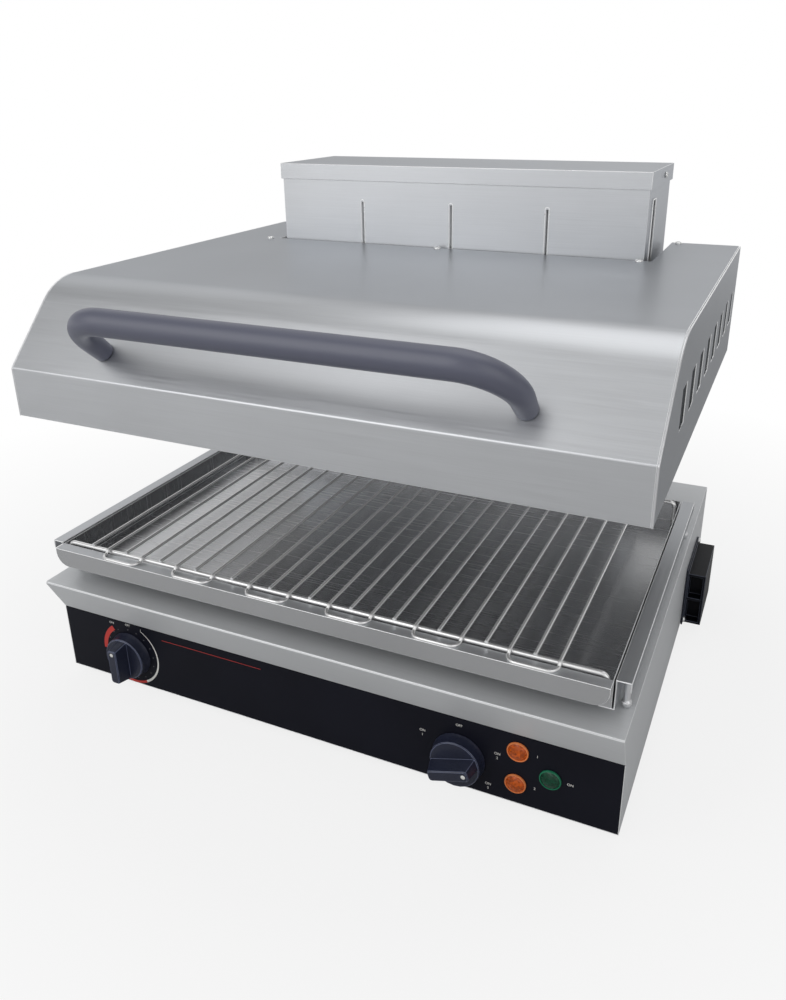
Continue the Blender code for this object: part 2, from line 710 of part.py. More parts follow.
def make_base_floor(parent, steel):
    half = BASE_WIDTH / 2 - SHEET - GAP
    front = WALL_FRONT + SHEET + GAP
    back = BASE_REAR - SHEET - GAP
    high = FLOOR_LOW + FLOOR_FLANGE

    def draw_openings(bm):
        add_box(
            bm,
            (SHEET - half, front + SHEET, FLOOR_TOP),
            (half - SHEET, back - SHEET, high + OVERRUN),
        )

    def draw_vents(bm):
        first = -FLOOR_VENT_PITCH * (FLOOR_VENT_COUNT - 1) / 2
        for i in range(FLOOR_VENT_COUNT):
            x = first + FLOOR_VENT_PITCH * i
            add_box(
                bm,
                (x - FLOOR_VENT_WIDTH / 2, FLOOR_VENT_Y, FLOOR_LOW - OVERRUN),
                (x + FLOOR_VENT_WIDTH / 2, FLOOR_VENT_Y + FLOOR_VENT_LENGTH, FLOOR_TOP + OVERRUN),
            )
        for _, x, y in foot_places():
            radius = FOOT_STUD_RADIUS + GAP * 2
            add_cylinder(
                bm, radius, (x, y, FLOOR_LOW - OVERRUN), (x, y, FLOOR_TOP + OVERRUN), SCREW_SIDES
            )

    floor = add_object(
        "base_floor",
        lambda bm: add_box(bm, (-half, front, FLOOR_LOW), (half, back, high)),
        parent,
        steel,
    )
    cut(floor, "hollow", draw_openings)
    cut(floor, "vents", draw_vents)


def make_feet(parent, rubber):
    """Each foot has a moulded-in stud that stands through the floor plate."""
    top = FLOOR_LOW - GAP
    profile = [
        (0, FOOT_RECESS_DEPTH),
        (FOOT_RECESS_RADIUS, FOOT_RECESS_DEPTH),
        (FOOT_RECESS_RADIUS, 0),
        (FOOT_BOTTOM_RADIUS - FOOT_EDGE, 0),
        (FOOT_BOTTOM_RADIUS, FOOT_EDGE),
        (FOOT_TOP_RADIUS, top),
        (FOOT_STUD_RADIUS, top),
        (FOOT_STUD_RADIUS, FLOOR_TOP + FOOT_STUD_END),
    ]
    for name, x, y in foot_places():
        place = Matrix.Translation((x, y, 0))
        add_object(
            name,
            lambda bm, place=place: add_turned(bm, profile, place, GUIDE_SIDES),
            parent,
            rubber,
            smooth=True,
        )


def make_control_overlay(parent, film):
    half = BASE_WIDTH / 2
    overlay = add_object(
        "control_overlay",
        lambda bm: add_box(
            bm, (-half, 0, CASING_LOW), (half, OVERLAY_THICKNESS, PANEL_TOP - GAP)
        ),
        parent,
        film,
    )
    cut(overlay, "panel_holes", add_panel_holes)


def make_control_case(name, x, z, parent, plastic):
    """A switch or timer body behind the panel, with the bore that its spindle turns in."""
    front = WALL_FRONT + SHEET + GAP
    half = SWITCH_CASE_WIDTH / 2
    case = add_object(
        f"{name}_case",
        lambda bm: add_box(
            bm, (x - half, front, z - half), (x + half, front + SWITCH_CASE_DEPTH, z + half)
        ),
        parent,
        plastic,
    )
    bore_end = front + SPINDLE_IN_CASE + OVERRUN
    cut(
        case,
        "bore",
        lambda bm: add_cylinder(
            bm, SPINDLE_RADIUS + GAP, (x, front - OVERRUN, z), (x, bore_end, z), GUIDE_SIDES
        ),
    )


def make_knob(name, axis, turn, plastic, steel):
    """A knob and its spindle, drawn round the spindle's axis with the panel at y = 0."""
    out = (0, -1, 0)
    face = -GAP
    profile = [
        (KNOB_SKIRT_RADIUS, 0),
        (KNOB_SKIRT_RADIUS, KNOB_EDGE),
        (KNOB_BODY_RADIUS, KNOB_SKIRT_DEPTH),
        (KNOB_BODY_RADIUS, KNOB_BODY_DEPTH - KNOB_EDGE),
        (KNOB_BODY_RADIUS - KNOB_EDGE, KNOB_BODY_DEPTH),
    ]
    knob = add_object(
        f"{name}_knob",
        lambda bm: add_turned(bm, profile, pointing((0, face, 0), out), 24),
        axis,
        plastic,
        smooth=True,
    )

    def draw_grip(bm):
        rings = []
        low = (GRIP_BASE_WIDTH, GRIP_BASE_LENGTH, KNOB_BODY_DEPTH - KNOB_EDGE)
        high = (GRIP_TIP_WIDTH, GRIP_TIP_LENGTH, KNOB_DEPTH - KNOB_EDGE)
        tip = (GRIP_TIP_WIDTH - KNOB_EDGE * 2, GRIP_TIP_LENGTH - KNOB_EDGE * 2, KNOB_DEPTH)
        for width, length, level in (low, high, tip):
            outline = rounded_box(width, length, GRIP_CORNER, 2)
            rings.append([(px, face - level, pz) for px, pz in outline])
        add_rings(bm, rings)
        bmesh.ops.rotate(bm, verts=bm.verts, matrix=Matrix.Rotation(turn, 3, "Y"))

    weld(knob, "grip", draw_grip)
    cut(
        knob,
        "bore",
        lambda bm: add_cylinder(
            bm, SPINDLE_RADIUS + GAP, (0, OVERRUN, 0), (0, -SPINDLE_IN_KNOB - GAP, 0), GUIDE_SIDES
        ),
    )
    inner = WALL_FRONT + SHEET + GAP + SPINDLE_IN_CASE
    add_object(
        f"{name}_spindle",
        lambda bm: add_cylinder(
            bm, SPINDLE_RADIUS, (0, inner, 0), (0, -SPINDLE_IN_KNOB, 0), GUIDE_SIDES
        ),
        axis,
        steel,
        smooth=True,
    )


def make_lamps(parent, amber, green):
    """Each signal lamp is one unit: a rimmed lens and the barrel behind it."""
    dome = LAMP_PROUD - LAMP_RIM
    profile = [
        ((LAMP_RADIUS - LAMP_RIM) * wide, LAMP_RIM + dome * high)
        for wide, high in LAMP_DOME_SHARES[::-1]
    ]
    profile += [(LAMP_RADIUS, LAMP_RIM), (LAMP_RADIUS, 0), (LAMP_BARREL_RADIUS, 0)]
    profile += [(LAMP_BARREL_RADIUS, -LAMP_BARREL_LENGTH)]
    for name, x, z in lamp_places():
        place = pointing((x, -GAP, z), (0, -1, 0))
        add_object(
            name,
            lambda bm, place=place: add_turned(bm, profile, place, GUIDE_SIDES),
            parent,
            green if name.startswith("green") else amber,
            smooth=True,
        )


def make_supply_parts(parent, plastic):
    bore = GLAND_BORE
    gland = [
        (bore, -GLAND_INNER_REACH),
        (GLAND_THREAD_RADIUS, -GLAND_INNER_REACH),
        (GLAND_THREAD_RADIUS, GAP),
        (GLAND_HEX_RADIUS, GAP),
        (GLAND_HEX_RADIUS, GLAND_HEX_DEPTH),
        (GLAND_DOME_RADIUS, GLAND_HEX_DEPTH),
        (GLAND_DOME_RADIUS, GLAND_REACH - GLAND_HEX_DEPTH / 2),
        (GLAND_THREAD_RADIUS, GLAND_REACH),
        (bore, GLAND_REACH),
    ]
    place = pointing((GLAND_X, BASE_REAR, GLAND_Z), (0, 1, 0))
    add_object(
        "cable_gland",
        lambda bm: add_turned(bm, gland, place, GUIDE_SIDES, bored=True),
        parent,
        plastic,
        smooth=True,
    )
    near = -SHEET - GAP
    nut = [
        (GLAND_THREAD_RADIUS + GAP, near - GLAND_NUT_DEPTH),
        (GLAND_NUT_RADIUS, near - GLAND_NUT_DEPTH),
        (GLAND_NUT_RADIUS, near),
        (GLAND_THREAD_RADIUS + GAP, near),
    ]
    add_object(
        "gland_nut",
        lambda bm: add_turned(bm, nut, place, GUIDE_SIDES, bored=True),
        parent,
        plastic,
        smooth=True,
    )
    back = BASE_REAR - TERMINAL_SETBACK
    low = FLOOR_TOP + GAP
    left = GLAND_X - TERMINAL_LENGTH / 2
    block = add_object(
        "terminal_block",
        lambda bm: add_box(
            bm,
            (left, back - TERMINAL_WIDTH, low),
            (left + TERMINAL_LENGTH, back, low + TERMINAL_HEIGHT),
        ),
        parent,
        plastic,
    )

    def draw_cells(bm):
        pitch = TERMINAL_CELL + TERMINAL_WALL
        count = int((TERMINAL_LENGTH - TERMINAL_WALL) / pitch)
        for i in range(count):
            x = left + TERMINAL_WALL + pitch * i
            add_box(
                bm,
                (x, back - TERMINAL_WIDTH + TERMINAL_WALL, low + TERMINAL_HEIGHT / 2),
                (x + TERMINAL_CELL, back - TERMINAL_WALL, low + TERMINAL_HEIGHT + OVERRUN),
            )

    cut(block, "cells", draw_cells)


def grip_screw_places(side):
    """Seats of one grip's screws, on the outer face of its flange."""
    x = side * (BASE_WIDTH / 2 + GAP + GRIP_FLANGE_THICKNESS)
    front = GRIP_BLOCK_FRONT - GRIP_FLANGE_FRONT / 2
    back = GRIP_BLOCK_FRONT + GRIP_BLOCK_LENGTH - GRIP_FLANGE_FRONT
    low = CASING_LOW + GRIP_FLANGE_TOP
    high = CASING_LOW + GRIP_BLOCK_HEIGHT + GRIP_FLANGE_TOP / 2
    return ((x, front, low), (x, back, high), (x, front + GRIP_FLANGE_FRONT * 2, high))


def make_side_grip(name, side, parent, plastic):
    """A moulded carrying grip on the base's side: a flange, a block with cells and a hand hollow."""
    wall = side * (BASE_WIDTH / 2 + GAP)
    face = wall + side * GRIP_FLANGE_THICKNESS
    outer = wall + side * GRIP_BLOCK_PROUD
    front = GRIP_BLOCK_FRONT
    back = front + GRIP_BLOCK_LENGTH
    low = CASING_LOW
    high = low + GRIP_BLOCK_HEIGHT

    def between(bm, near, y0, z0, far, y1, z1):
        add_box(bm, (min(near, far), y0, z0), (max(near, far), y1, z1))

    grip = add_object(
        name,
        lambda bm: between(
            bm, wall, front - GRIP_FLANGE_FRONT, low, face, back, high + GRIP_FLANGE_TOP
        ),
        parent,
        plastic,
    )
    inside = face - side * WELD_SINK
    weld(grip, "block", lambda bm: between(bm, inside, front, low, outer, back, high))

    def draw_hollows(bm):
        near = face + side * GRIP_WALL / 2
        far = outer - side * GRIP_WALL
        middle = (low + high) / 2
        end = front + GRIP_CELL_DEPTH
        between(bm, near, front - OVERRUN, low + GRIP_WALL, far, end, middle - GRIP_WALL / 2)
        between(bm, near, front - OVERRUN, middle + GRIP_WALL / 2, far, end, high - GRIP_WALL)
        hand_front = end + GRIP_WALL
        hand_top = low + GRIP_HAND_DEPTH
        between(bm, near, hand_front, low - OVERRUN, far, back - GRIP_WALL, hand_top)

    cut(grip, "hollows", draw_hollows)

    def draw_holes(bm):
        for seat in grip_screw_places(side):
            add_screw_hole(bm, seat, (side, 0, 0), GRIP_FLANGE_THICKNESS)

    cut(grip, "screw_holes", draw_holes)


def make_rail(name, side, parent, steel):
    """A folded rail: ledge under the tray, web, top and outer lip, its sheet outside the tray."""
    ledge = TRAY_LOW - GAP
    path = [
        (RAIL_INNER - RAIL_LEDGE, ledge),
        (RAIL_INNER, ledge),
        (RAIL_INNER, RAIL_TOP),
        (RAIL_INNER + RAIL_TOP_WIDTH, RAIL_TOP),
        (RAIL_INNER + RAIL_TOP_WIDTH, RAIL_TOP - RAIL_LIP),
    ]
    outline = [(side * x, z) for x, z in folded(path, SHEET)]
    add_object(
        name,
        lambda bm: add_prism(bm, outline, "y", RAIL_FRONT, RAIL_REAR),
        parent,
        steel,
    )


def post_places():
    """Name, x and y of each post under the rails."""
    x = RAIL_INNER + RAIL_TOP_WIDTH / 2
    front = RAIL_FRONT + POST_FRONT_SETBACK
    back = RAIL_REAR - POST_REAR_SETBACK
    return (
        ("rail_post_front_left", -x, front),
        ("rail_post_front_right", x, front),
        ("rail_post_back_left", -x, back),
        ("rail_post_back_right", x, back),
    )


def make_rail_posts(parent, chrome):
    height = RAIL_TOP - SHEET - GAP - DECK - GAP
    profile = [
        (POST_COLLAR_RADIUS, 0),
        (POST_COLLAR_RADIUS, POST_COLLAR_HEIGHT / 2),
        (POST_RADIUS, POST_COLLAR_HEIGHT),
        (POST_RADIUS, height),
    ]
    for name, x, y in post_places():
        place = Matrix.Translation((x, y, DECK + GAP))
        add_object(
            name,
            lambda bm, place=place: add_turned(bm, profile, place, ROD_SIDES),
            parent,
            chrome,
            smooth=True,
        )


def make_drip_tray(parent, steel):
    half = TRAY_HALF_WIDTH
    tray = add_object(
        "drip_tray",
        lambda bm: add_box(bm, (-half, TRAY_FRONT, TRAY_LOW), (half, TRAY_REAR, TRAY_TOP)),
        parent,
        steel,
    )
    cut(
        tray,
        "hollow",
        lambda bm: add_box(
            bm,
            (TRAY_SHEET - half, TRAY_FRONT + TRAY_SHEET, TRAY_LOW + TRAY_SHEET),
            (half - TRAY_SHEET, TRAY_REAR - TRAY_SHEET, TRAY_TOP + OVERRUN),
        ),
    )
    lip_front = TRAY_FRONT - LIP_REACH
    lip_low = TRAY_TOP - LIP_HEIGHT
    right = arc((half - LIP_CORNER, lip_low + LIP_CORNER), LIP_CORNER, -90, 0, 5)
    left = arc((LIP_CORNER - half, lip_low + LIP_CORNER), LIP_CORNER, 180, 270, 5)
    outline = left + right + [(half, TRAY_TOP), (-half, TRAY_TOP)]

    def draw_lip(bm):
        add_prism(bm, outline, "y", lip_front, lip_front + LIP_REACH + TRAY_SHEET / 2)

    weld(tray, "lip", draw_lip)

    def draw_under_lip(bm):
        add_box(
            bm,
            (-half - OVERRUN, lip_front + TRAY_SHEET, lip_low - OVERRUN),
            (half + OVERRUN, TRAY_FRONT, TRAY_TOP - TRAY_SHEET),
        )

    cut(tray, "under_lip", draw_under_lip)


def single_wires():
    """Places of the wires that run alone, counted from the left: the first and every second one."""
    return [i for i in range(WIRE_COUNT) if i % 2 == 0]


def loop_wires():
    """Left wire of each loop; its right wire is two further on."""
    return [i for i in range(1, WIRE_COUNT, 4)]


def wire_x(i):
    return FIRST_WIRE_X + WIRE_PITCH * i


def loop_points(left, right, rear):
    """One loop from its rear left end round its front to its rear right end."""
    side = [(left, rear, WIRE_Z), (left, FRONT_ROD_Y - STEP_START, WIRE_Z)]
    side.append((left, FRONT_ROD_Y - STEP_END, LOOP_Z))
    centre_y = LOOP_FRONT_Y + LOOP_CORNER
    corner = arc((left + LOOP_CORNER, centre_y), LOOP_CORNER, 180, 270, 3)
    side += [(x, y, LOOP_Z) for x, y in corner[1:]]
    other = [(left + right - x, y, z) for x, y, z in side[::-1]]
    return side + other


def loop_tube(bm, points):
    """Skins a loop's wire ring by ring, since it steps down and then turns."""
    points = [Vector(point) for point in points]
    rings = []
    for i, point in enumerate(points):
        before = (point - points[max(i - 1, 0)]).normalized()
        after = (points[min(i + 1, len(points) - 1)] - point).normalized()
        heading = (before + after).normalized()
        across = heading.cross(Vector((0, 0, 1))).normalized()
        rise = across.cross(heading)
        ring = []
        for k in range(WIRE_SIDES):
            angle = math.tau * k / WIRE_SIDES
            ring.append(point + (across * math.cos(angle) + rise * math.sin(angle)) * WIRE_RADIUS)
        rings.append(ring)
    add_rings(bm, rings)


def rod_points(y):
    """A cross rod whose ends bend down to stand on the tray's floor."""
    foot = TRAY_LOW + TRAY_SHEET + GAP
    corner = arc(
        (ROD_HALF_LENGTH - ROD_BEND_RADIUS, ROD_Z - ROD_BEND_RADIUS), ROD_BEND_RADIUS, 0, 90, 3
    )
    right = [(ROD_HALF_LENGTH, foot)] + corner
    outline = right + [(-x, z) for x, z in right[::-1]]
    return [(x, y, z) for x, z in outline]


def make_cooking_grid(parent, chrome):
    rear = REAR_ROD_Y + WIRE_PAST_ROD

    def draw_wires(bm):
        for i in single_wires():
            front = FRONT_ROD_Y - WIRE_PAST_ROD / 2
            low = (wire_x(i), front, WIRE_Z)
            add_cylinder(bm, WIRE_RADIUS, low, (wire_x(i), rear, WIRE_Z), WIRE_SIDES)
        for i in loop_wires():
            loop_tube(bm, loop_points(wire_x(i), wire_x(i + 2), rear))

    def draw_rods(bm):
        for y in (FRONT_ROD_Y, REAR_ROD_Y):
            points = rod_points(y)
            add_tube(bm, points, [ROD_RADIUS] * len(points), ROD_SIDES, (0, 1, 0))

    grid = add_object("cooking_grid", draw_wires, parent, chrome, smooth=True)
    weld(grid, "rods", draw_rods)


def lowest_arm():
    return ARM_LOW - HOOD_DROP - SLOT_LOW_ROOM


def make_mast_cover(parent, steel):
    half = MAST_HALF_WIDTH
    path = [(-half, MAST_REAR), (-half, MAST_FRONT), (half, MAST_FRONT), (half, MAST_REAR)]
    low = DECK + GAP
    high = CAP_TOP - SHEET - GAP
    cover = add_object(
        "mast_cover",
        lambda bm: add_prism(bm, folded(path, -SHEET), "z", low, high),
        parent,
        steel,
    )

    def draw_slots(bm):
        for i in (-1, 0, 1):
            x = ARM_PITCH * i
            add_box(
                bm,
                (x - ARM_SLOT_WIDTH / 2, MAST_FRONT - OVERRUN, lowest_arm()),
                (x + ARM_SLOT_WIDTH / 2, MAST_FRONT + OVERRUN, ARM_SLOT_TOP),
            )
        front = MAST_FRONT + SIDE_SLOT_FRONT
        add_box(
            bm,
            (-half - OVERRUN, front, lowest_arm()),
            (half + OVERRUN, front + SIDE_SLOT_WIDTH, SIDE_SLOT_TOP),
        )

    cut(cover, "slots", draw_slots)
    cut(cover, "screw_holes", draw_cap_screw_holes)


def cap_screw_seats():
    """Name, seat and outward direction of the screws in the cap's two ends."""
    z = CAP_TOP - CAP_HEIGHT / 2
    x = MAST_HALF_WIDTH + CAP_OVERHANG
    return (
        ("cap_screw_left", (-x, CAP_SCREW_Y, z), (-1, 0, 0)),
        ("cap_screw_right", (x, CAP_SCREW_Y, z), (1, 0, 0)),
    )


def draw_cap_screw_holes(bm):
    for _, seat, outward in cap_screw_seats():
        add_screw_hole(bm, seat, outward, CAP_OVERHANG + SHEET)


def make_mast_back(parent, steel):
    half = MAST_HALF_WIDTH - SHEET - GAP
    low = DECK + GAP
    high = CAP_TOP - SHEET - GAP
    back = add_object(
        "mast_back",
        lambda bm: add_box(bm, (-half, MAST_REAR - SHEET, low), (half, MAST_REAR, high)),
        parent,
        steel,
    )

    def draw_vents(bm):
        for side in (-1, 1):
            for i in range(MAST_VENT_COUNT):
                x = side * MAST_VENT_WIDTH
                z = DECK + MAST_VENT_LOW + MAST_VENT_PITCH * i
                add_box(
                    bm,
                    (x - MAST_VENT_WIDTH / 2, MAST_REAR - SHEET - OVERRUN, z),
                    (x + MAST_VENT_WIDTH / 2, MAST_REAR + OVERRUN, z + MAST_VENT_HEIGHT),
                )

    cut(back, "vents", draw_vents)


def make_mast_cap(parent, steel):
    half = MAST_HALF_WIDTH + CAP_OVERHANG
    front = MAST_FRONT - CAP_OVERHANG
    rear = MAST_REAR + CAP_REAR_OVERHANG
    low = CAP_TOP - CAP_HEIGHT
    cap = add_object(
        "mast_cap",
        lambda bm: add_box(bm, (-half, front, low), (half, rear, CAP_TOP)),
        parent,
        steel,
    )
    cut(
        cap,
        "hollow",
        lambda bm: add_box(
            bm,
            (SHEET - half, front + SHEET, low - OVERRUN),
            (half - SHEET, rear - SHEET, CAP_TOP - SHEET),
        ),
    )
    cut(cap, "screw_holes", draw_cap_screw_holes)


def make_cap_screws(parent, zinc):
    for name, seat, outward in cap_screw_seats():
        make_screw(name, seat, outward, parent, zinc)


def lower_crosshead_levels():
    low = FLOOR_TOP + GAP
    return low, low + LOWER_CROSSHEAD_HEIGHT


def upper_crosshead_levels():
    high = CAP_TOP - UPPER_CROSSHEAD_DROP
    return high - UPPER_CROSSHEAD_HEIGHT, high


def make_crossheads(parent, painted):
    """The bars that hold the guide rods at their two ends."""
    front = ROD_LINE_Y - CROSSHEAD_DEPTH / 2
    back = ROD_LINE_Y + CROSSHEAD_DEPTH / 2
    low, high = lower_crosshead_levels()
    half = CROSSHEAD_HALF_WIDTH
    lower = add_object(
        "lower_crosshead",
        lambda bm: add_box(bm, (-half, front, low), (half, back, high)),
        parent,
        painted,
    )

    def draw_lower_bores(bm):
        for side in (-1, 1):
            for x, radius in ((GUIDE_X, GUIDE_RADIUS), (STRUT_X, STRUT_STUD_RADIUS)):
                place = (side * x, ROD_LINE_Y, high - CROSSHEAD_BITE - GAP)
                end = (side * x, ROD_LINE_Y, high + OVERRUN)
                add_cylinder(bm, radius + GAP, place, end, GUIDE_SIDES)

    cut(lower, "bores", draw_lower_bores)
    top_low, top_high = upper_crosshead_levels()
    wide = MAST_HALF_WIDTH - SHEET - GAP
    upper = add_object(
        "upper_crosshead",
        lambda bm: add_box(bm, (-wide, front, top_low), (wide, back, top_high)),
        parent,
        painted,
    )

    def draw_upper_bores(bm):
        for side in (-1, 1):
            place = (side * GUIDE_X, ROD_LINE_Y, top_low - OVERRUN)
            end = (side * GUIDE_X, ROD_LINE_Y, top_low + CROSSHEAD_BITE + GAP)
            add_cylinder(bm, GUIDE_RADIUS + GAP, place, end, GUIDE_SIDES)

    cut(upper, "bores", draw_upper_bores)


def make_guide_rods(parent, chrome):
    low = lower_crosshead_levels()[1] - CROSSHEAD_BITE
    high = upper_crosshead_levels()[0] + CROSSHEAD_BITE
    for name, side in (("guide_rod_left", -1), ("guide_rod_right", 1)):
        x = side * GUIDE_X
        add_object(
            name,
            lambda bm, x=x: add_cylinder(
                bm, GUIDE_RADIUS, (x, ROD_LINE_Y, low), (x, ROD_LINE_Y, high), GUIDE_SIDES
            ),
            parent,
            chrome,
            smooth=True,
        )


def make_struts(parent, hood, painted, chrome):
    """Gas struts between the lower crosshead and the carriage's shelf."""
    base = lower_crosshead_levels()[1]
    carriage_low = ARM_LOW - GAP
    body_top = ARM_LOW - HOOD_DROP - STRUT_TOP_ROOM
    bore_top = body_top - STRUT_NECK
    piston_top = bore_top - HOOD_RISE - STRUT_END_ROOM
    piston_low = piston_top - STRUT_PISTON_HEIGHT
    bore_low = piston_low - HOOD_DROP - STRUT_END_ROOM
    neck = STRUT_ROD_RADIUS + GAP
    body = [
        (0, base - CROSSHEAD_BITE),
        (STRUT_STUD_RADIUS, base - CROSSHEAD_BITE),
        (STRUT_STUD_RADIUS, base + GAP),
        (STRUT_BODY_RADIUS, base + GAP),
        (STRUT_BODY_RADIUS, body_top),
        (neck, body_top),
        (neck, bore_top),
        (STRUT_BORE_RADIUS, bore_top),
        (STRUT_BORE_RADIUS, bore_low),
        (0, bore_low),
    ]
    rod = [
        (STRUT_PISTON_RADIUS, piston_low),
        (STRUT_PISTON_RADIUS, piston_top),
        (STRUT_ROD_RADIUS, piston_top),
        (STRUT_ROD_RADIUS, carriage_low),
    ]
    for label, side in (("left", -1), ("right", 1)):
        place = Matrix.Translation((side * STRUT_X, ROD_LINE_Y, 0))
        add_object(
            f"strut_body_{label}",
            lambda bm, place=place: add_turned(bm, body, place, GUIDE_SIDES),
            parent,
            painted,
            smooth=True,
        )
        add_object(
            f"strut_rod_{label}",
            lambda bm, place=place: add_turned(bm, rod, place, GUIDE_SIDES),
            hood,
            chrome,
            smooth=True,
        )


def arm_tab_y():
    """Front face of the tabs on the arms, which lie against the back frame's front face."""
    return FRAME_REAR_FACE - SHEET - GAP - ARM_THICKNESS


def make_lift_carriage(hood, painted):
    """The welded carriage: a plate through the mast's side slots, three arms and two blocks."""
    front = CARRIAGE_PLATE_Y
    back = front + CARRIAGE_PLATE
    reach = NOTCH_HALF_WIDTH - GAP
    tab_y = arm_tab_y()
    low = ARM_LOW
    high = ARM_TOP
    trim = WELD_SINK

    def draw_arms(bm):
        for i in (-1, 0, 1):
            x = ARM_PITCH * i
            left = x - ARM_THICKNESS / 2
            right = x + ARM_THICKNESS / 2
            path = [
                (left, back - trim),
                (left, tab_y),
                (right + ARM_TAB, tab_y),
                (right + ARM_TAB, tab_y + ARM_THICKNESS),
                (right, tab_y + ARM_THICKNESS),
                (right, back - trim),
            ]
            add_prism(bm, path, "z", low + trim, high - trim)

    def draw_side_tabs(bm):
        for side in (-1, 1):
            near = side * (reach - ARM_THICKNESS)
            far = side * reach
            add_box(
                bm,
                (min(near, far), front + trim, low + trim),
                (max(near, far), back + SIDE_TAB, high - trim),
            )

    def draw_blocks(bm):
        for side in (-1, 1):
            add_box(
                bm,
                (side * GUIDE_X - BLOCK_HALF_WIDTH, back - trim, low + trim),
                (side * GUIDE_X + BLOCK_HALF_WIDTH, back + BLOCK_DEPTH, high - trim),
            )

    def draw_shelf(bm):
        add_box(
            bm,
            (-SHELF_HALF_WIDTH, back - trim, low),
            (SHELF_HALF_WIDTH, back + SHELF_DEPTH, low + CARRIAGE_PLATE),
        )

    def draw_bores(bm):
        for side in (-1, 1):
            x = side * GUIDE_X
            add_cylinder(
                bm,
                GUIDE_RADIUS + GAP + BUSHING_WALL + GAP,
                (x, ROD_LINE_Y, low - OVERRUN),
                (x, ROD_LINE_Y, high + OVERRUN),
                GUIDE_SIDES,
            )

    half = reach - ARM_THICKNESS / 2
    carriage = add_object(
        "lift_carriage",
        lambda bm: add_box(bm, (-half, front, low), (half, back, high)),
        hood,
        painted,
    )
    weld(carriage, "arms", draw_arms)
    weld(carriage, "side_tabs", draw_side_tabs)
    weld(carriage, "blocks", draw_blocks)
    weld(carriage, "shelf", draw_shelf)
    cut(carriage, "bores", draw_bores)


def make_bushings(hood, bronze):
    inner = GUIDE_RADIUS + GAP
    profile = [
        (inner, ARM_LOW),
        (inner + BUSHING_WALL, ARM_LOW),
        (inner + BUSHING_WALL, ARM_TOP),
        (inner, ARM_TOP),
    ]
    for name, side in (("bushing_left", -1), ("bushing_right", 1)):
        place = Matrix.Translation((side * GUIDE_X, ROD_LINE_Y, 0))
        add_object(
            name,
            lambda bm, place=place: add_turned(bm, profile, place, GUIDE_SIDES, bored=True),
            hood,
            bronze,
            smooth=True,
        )


def hood_path():
    """The hood's side view (y, z) from its front lower edge over the slope to its rear upper edge."""
    corners = [
        (HOOD_FRONT, HOOD_BOTTOM),
        (HOOD_FRONT, HOOD_BAND_TOP),
        (HOOD_BEND_Y, HOOD_TOP),
        (HOOD_REAR, HOOD_TOP),
    ]
    return rounded(corners, (BAND_RADIUS, SLOPE_RADIUS), 6)


def top_screw_seats():
    front = NOTCH_FRONT - TOP_SCREW_SETBACK
    rear = HOOD_REAR - TOP_SCREW_REAR_INSET
    side = NOTCH_HALF_WIDTH + TOP_SCREW_REAR_OUTSET
    places = (
        ("hood_screw_front_left", -NOTCH_HALF_WIDTH - TOP_SCREW_LEFT_OUTSET, front),
        ("hood_screw_front_middle", TOP_SCREW_MIDDLE_X, front),
        ("hood_screw_front_right", NOTCH_HALF_WIDTH - TOP_SCREW_RIGHT_INSET, front),
        ("hood_screw_back_left", -side, rear),
        ("hood_screw_back_right", side, rear),
    )
    return [(name, (x, y, HOOD_TOP), (0, 0, 1)) for name, x, y in places]


def slope_frame():
    """Foot centre of the handle on the slope, the slope's outward normal and its upward line."""
    upward = Vector((0, math.cos(SLOPE_ANGLE), math.sin(SLOPE_ANGLE)))
    normal = Vector((0, -math.sin(SLOPE_ANGLE), math.cos(SLOPE_ANGLE)))
    foot = Vector((0, HOOD_FRONT, HOOD_BAND_TOP)) + upward * HANDLE_FOOT_UP
    return foot, normal, upward


def handle_feet():
    foot, normal, _ = slope_frame()
    return [(foot + Vector((side * HANDLE_HALF_SPAN, 0, 0)), normal) for side in (-1, 1)]


def make_hood_shell(hood, steel):
    half = HOOD_HALF_WIDTH - SHEET - GAP
    shell = add_object(
        "hood_shell",
        lambda bm: add_prism(bm, folded(hood_path(), SHEET), "x", -half, half),
        hood,
        steel,
    )

    def draw_notch(bm):
        add_box(
            bm,
            (-NOTCH_HALF_WIDTH, NOTCH_FRONT, HOOD_TOP - SHEET - OVERRUN),
            (NOTCH_HALF_WIDTH, HOOD_REAR + OVERRUN, HOOD_TOP + OVERRUN),
        )

    def draw_holes(bm):
        for _, seat, outward in top_screw_seats():
            add_screw_hole(bm, seat, outward, SHEET)
        for place, outward in handle_feet():
            add_cylinder(
                bm,
                HANDLE_STUD_RADIUS + GAP * 2,
                place - outward * OVERRUN,
                place + outward * OVERRUN,
                SCREW_SIDES,
            )

    cut(shell, "notch", draw_notch)
    cut(shell, "screw_holes", draw_holes)


def make_hood_side(name, side, hood, steel):
    outer = side * HOOD_HALF_WIDTH
    inner = side * (HOOD_HALF_WIDTH - SHEET)
    outline = hood_path() + [(HOOD_REAR, HOOD_BOTTOM)]
    plate = add_object(
        name,
        lambda bm: add_prism(bm, outline, "x", min(inner, outer), max(inner, outer)),
        hood,
        steel,
    )

    def draw_louvres(bm):
        for i in range(LOUVRE_COUNT):
            y = LOUVRE_FIRST_Y + LOUVRE_PITCH * i
            z = HOOD_BOTTOM + LOUVRE_LOW
            add_box(
                bm,
                (min(inner, outer) - OVERRUN, y, z),
                (max(inner, outer) + OVERRUN, y + LOUVRE_WIDTH, z + LOUVRE_HEIGHT),
            )

    cut(plate, "louvres", draw_louvres)


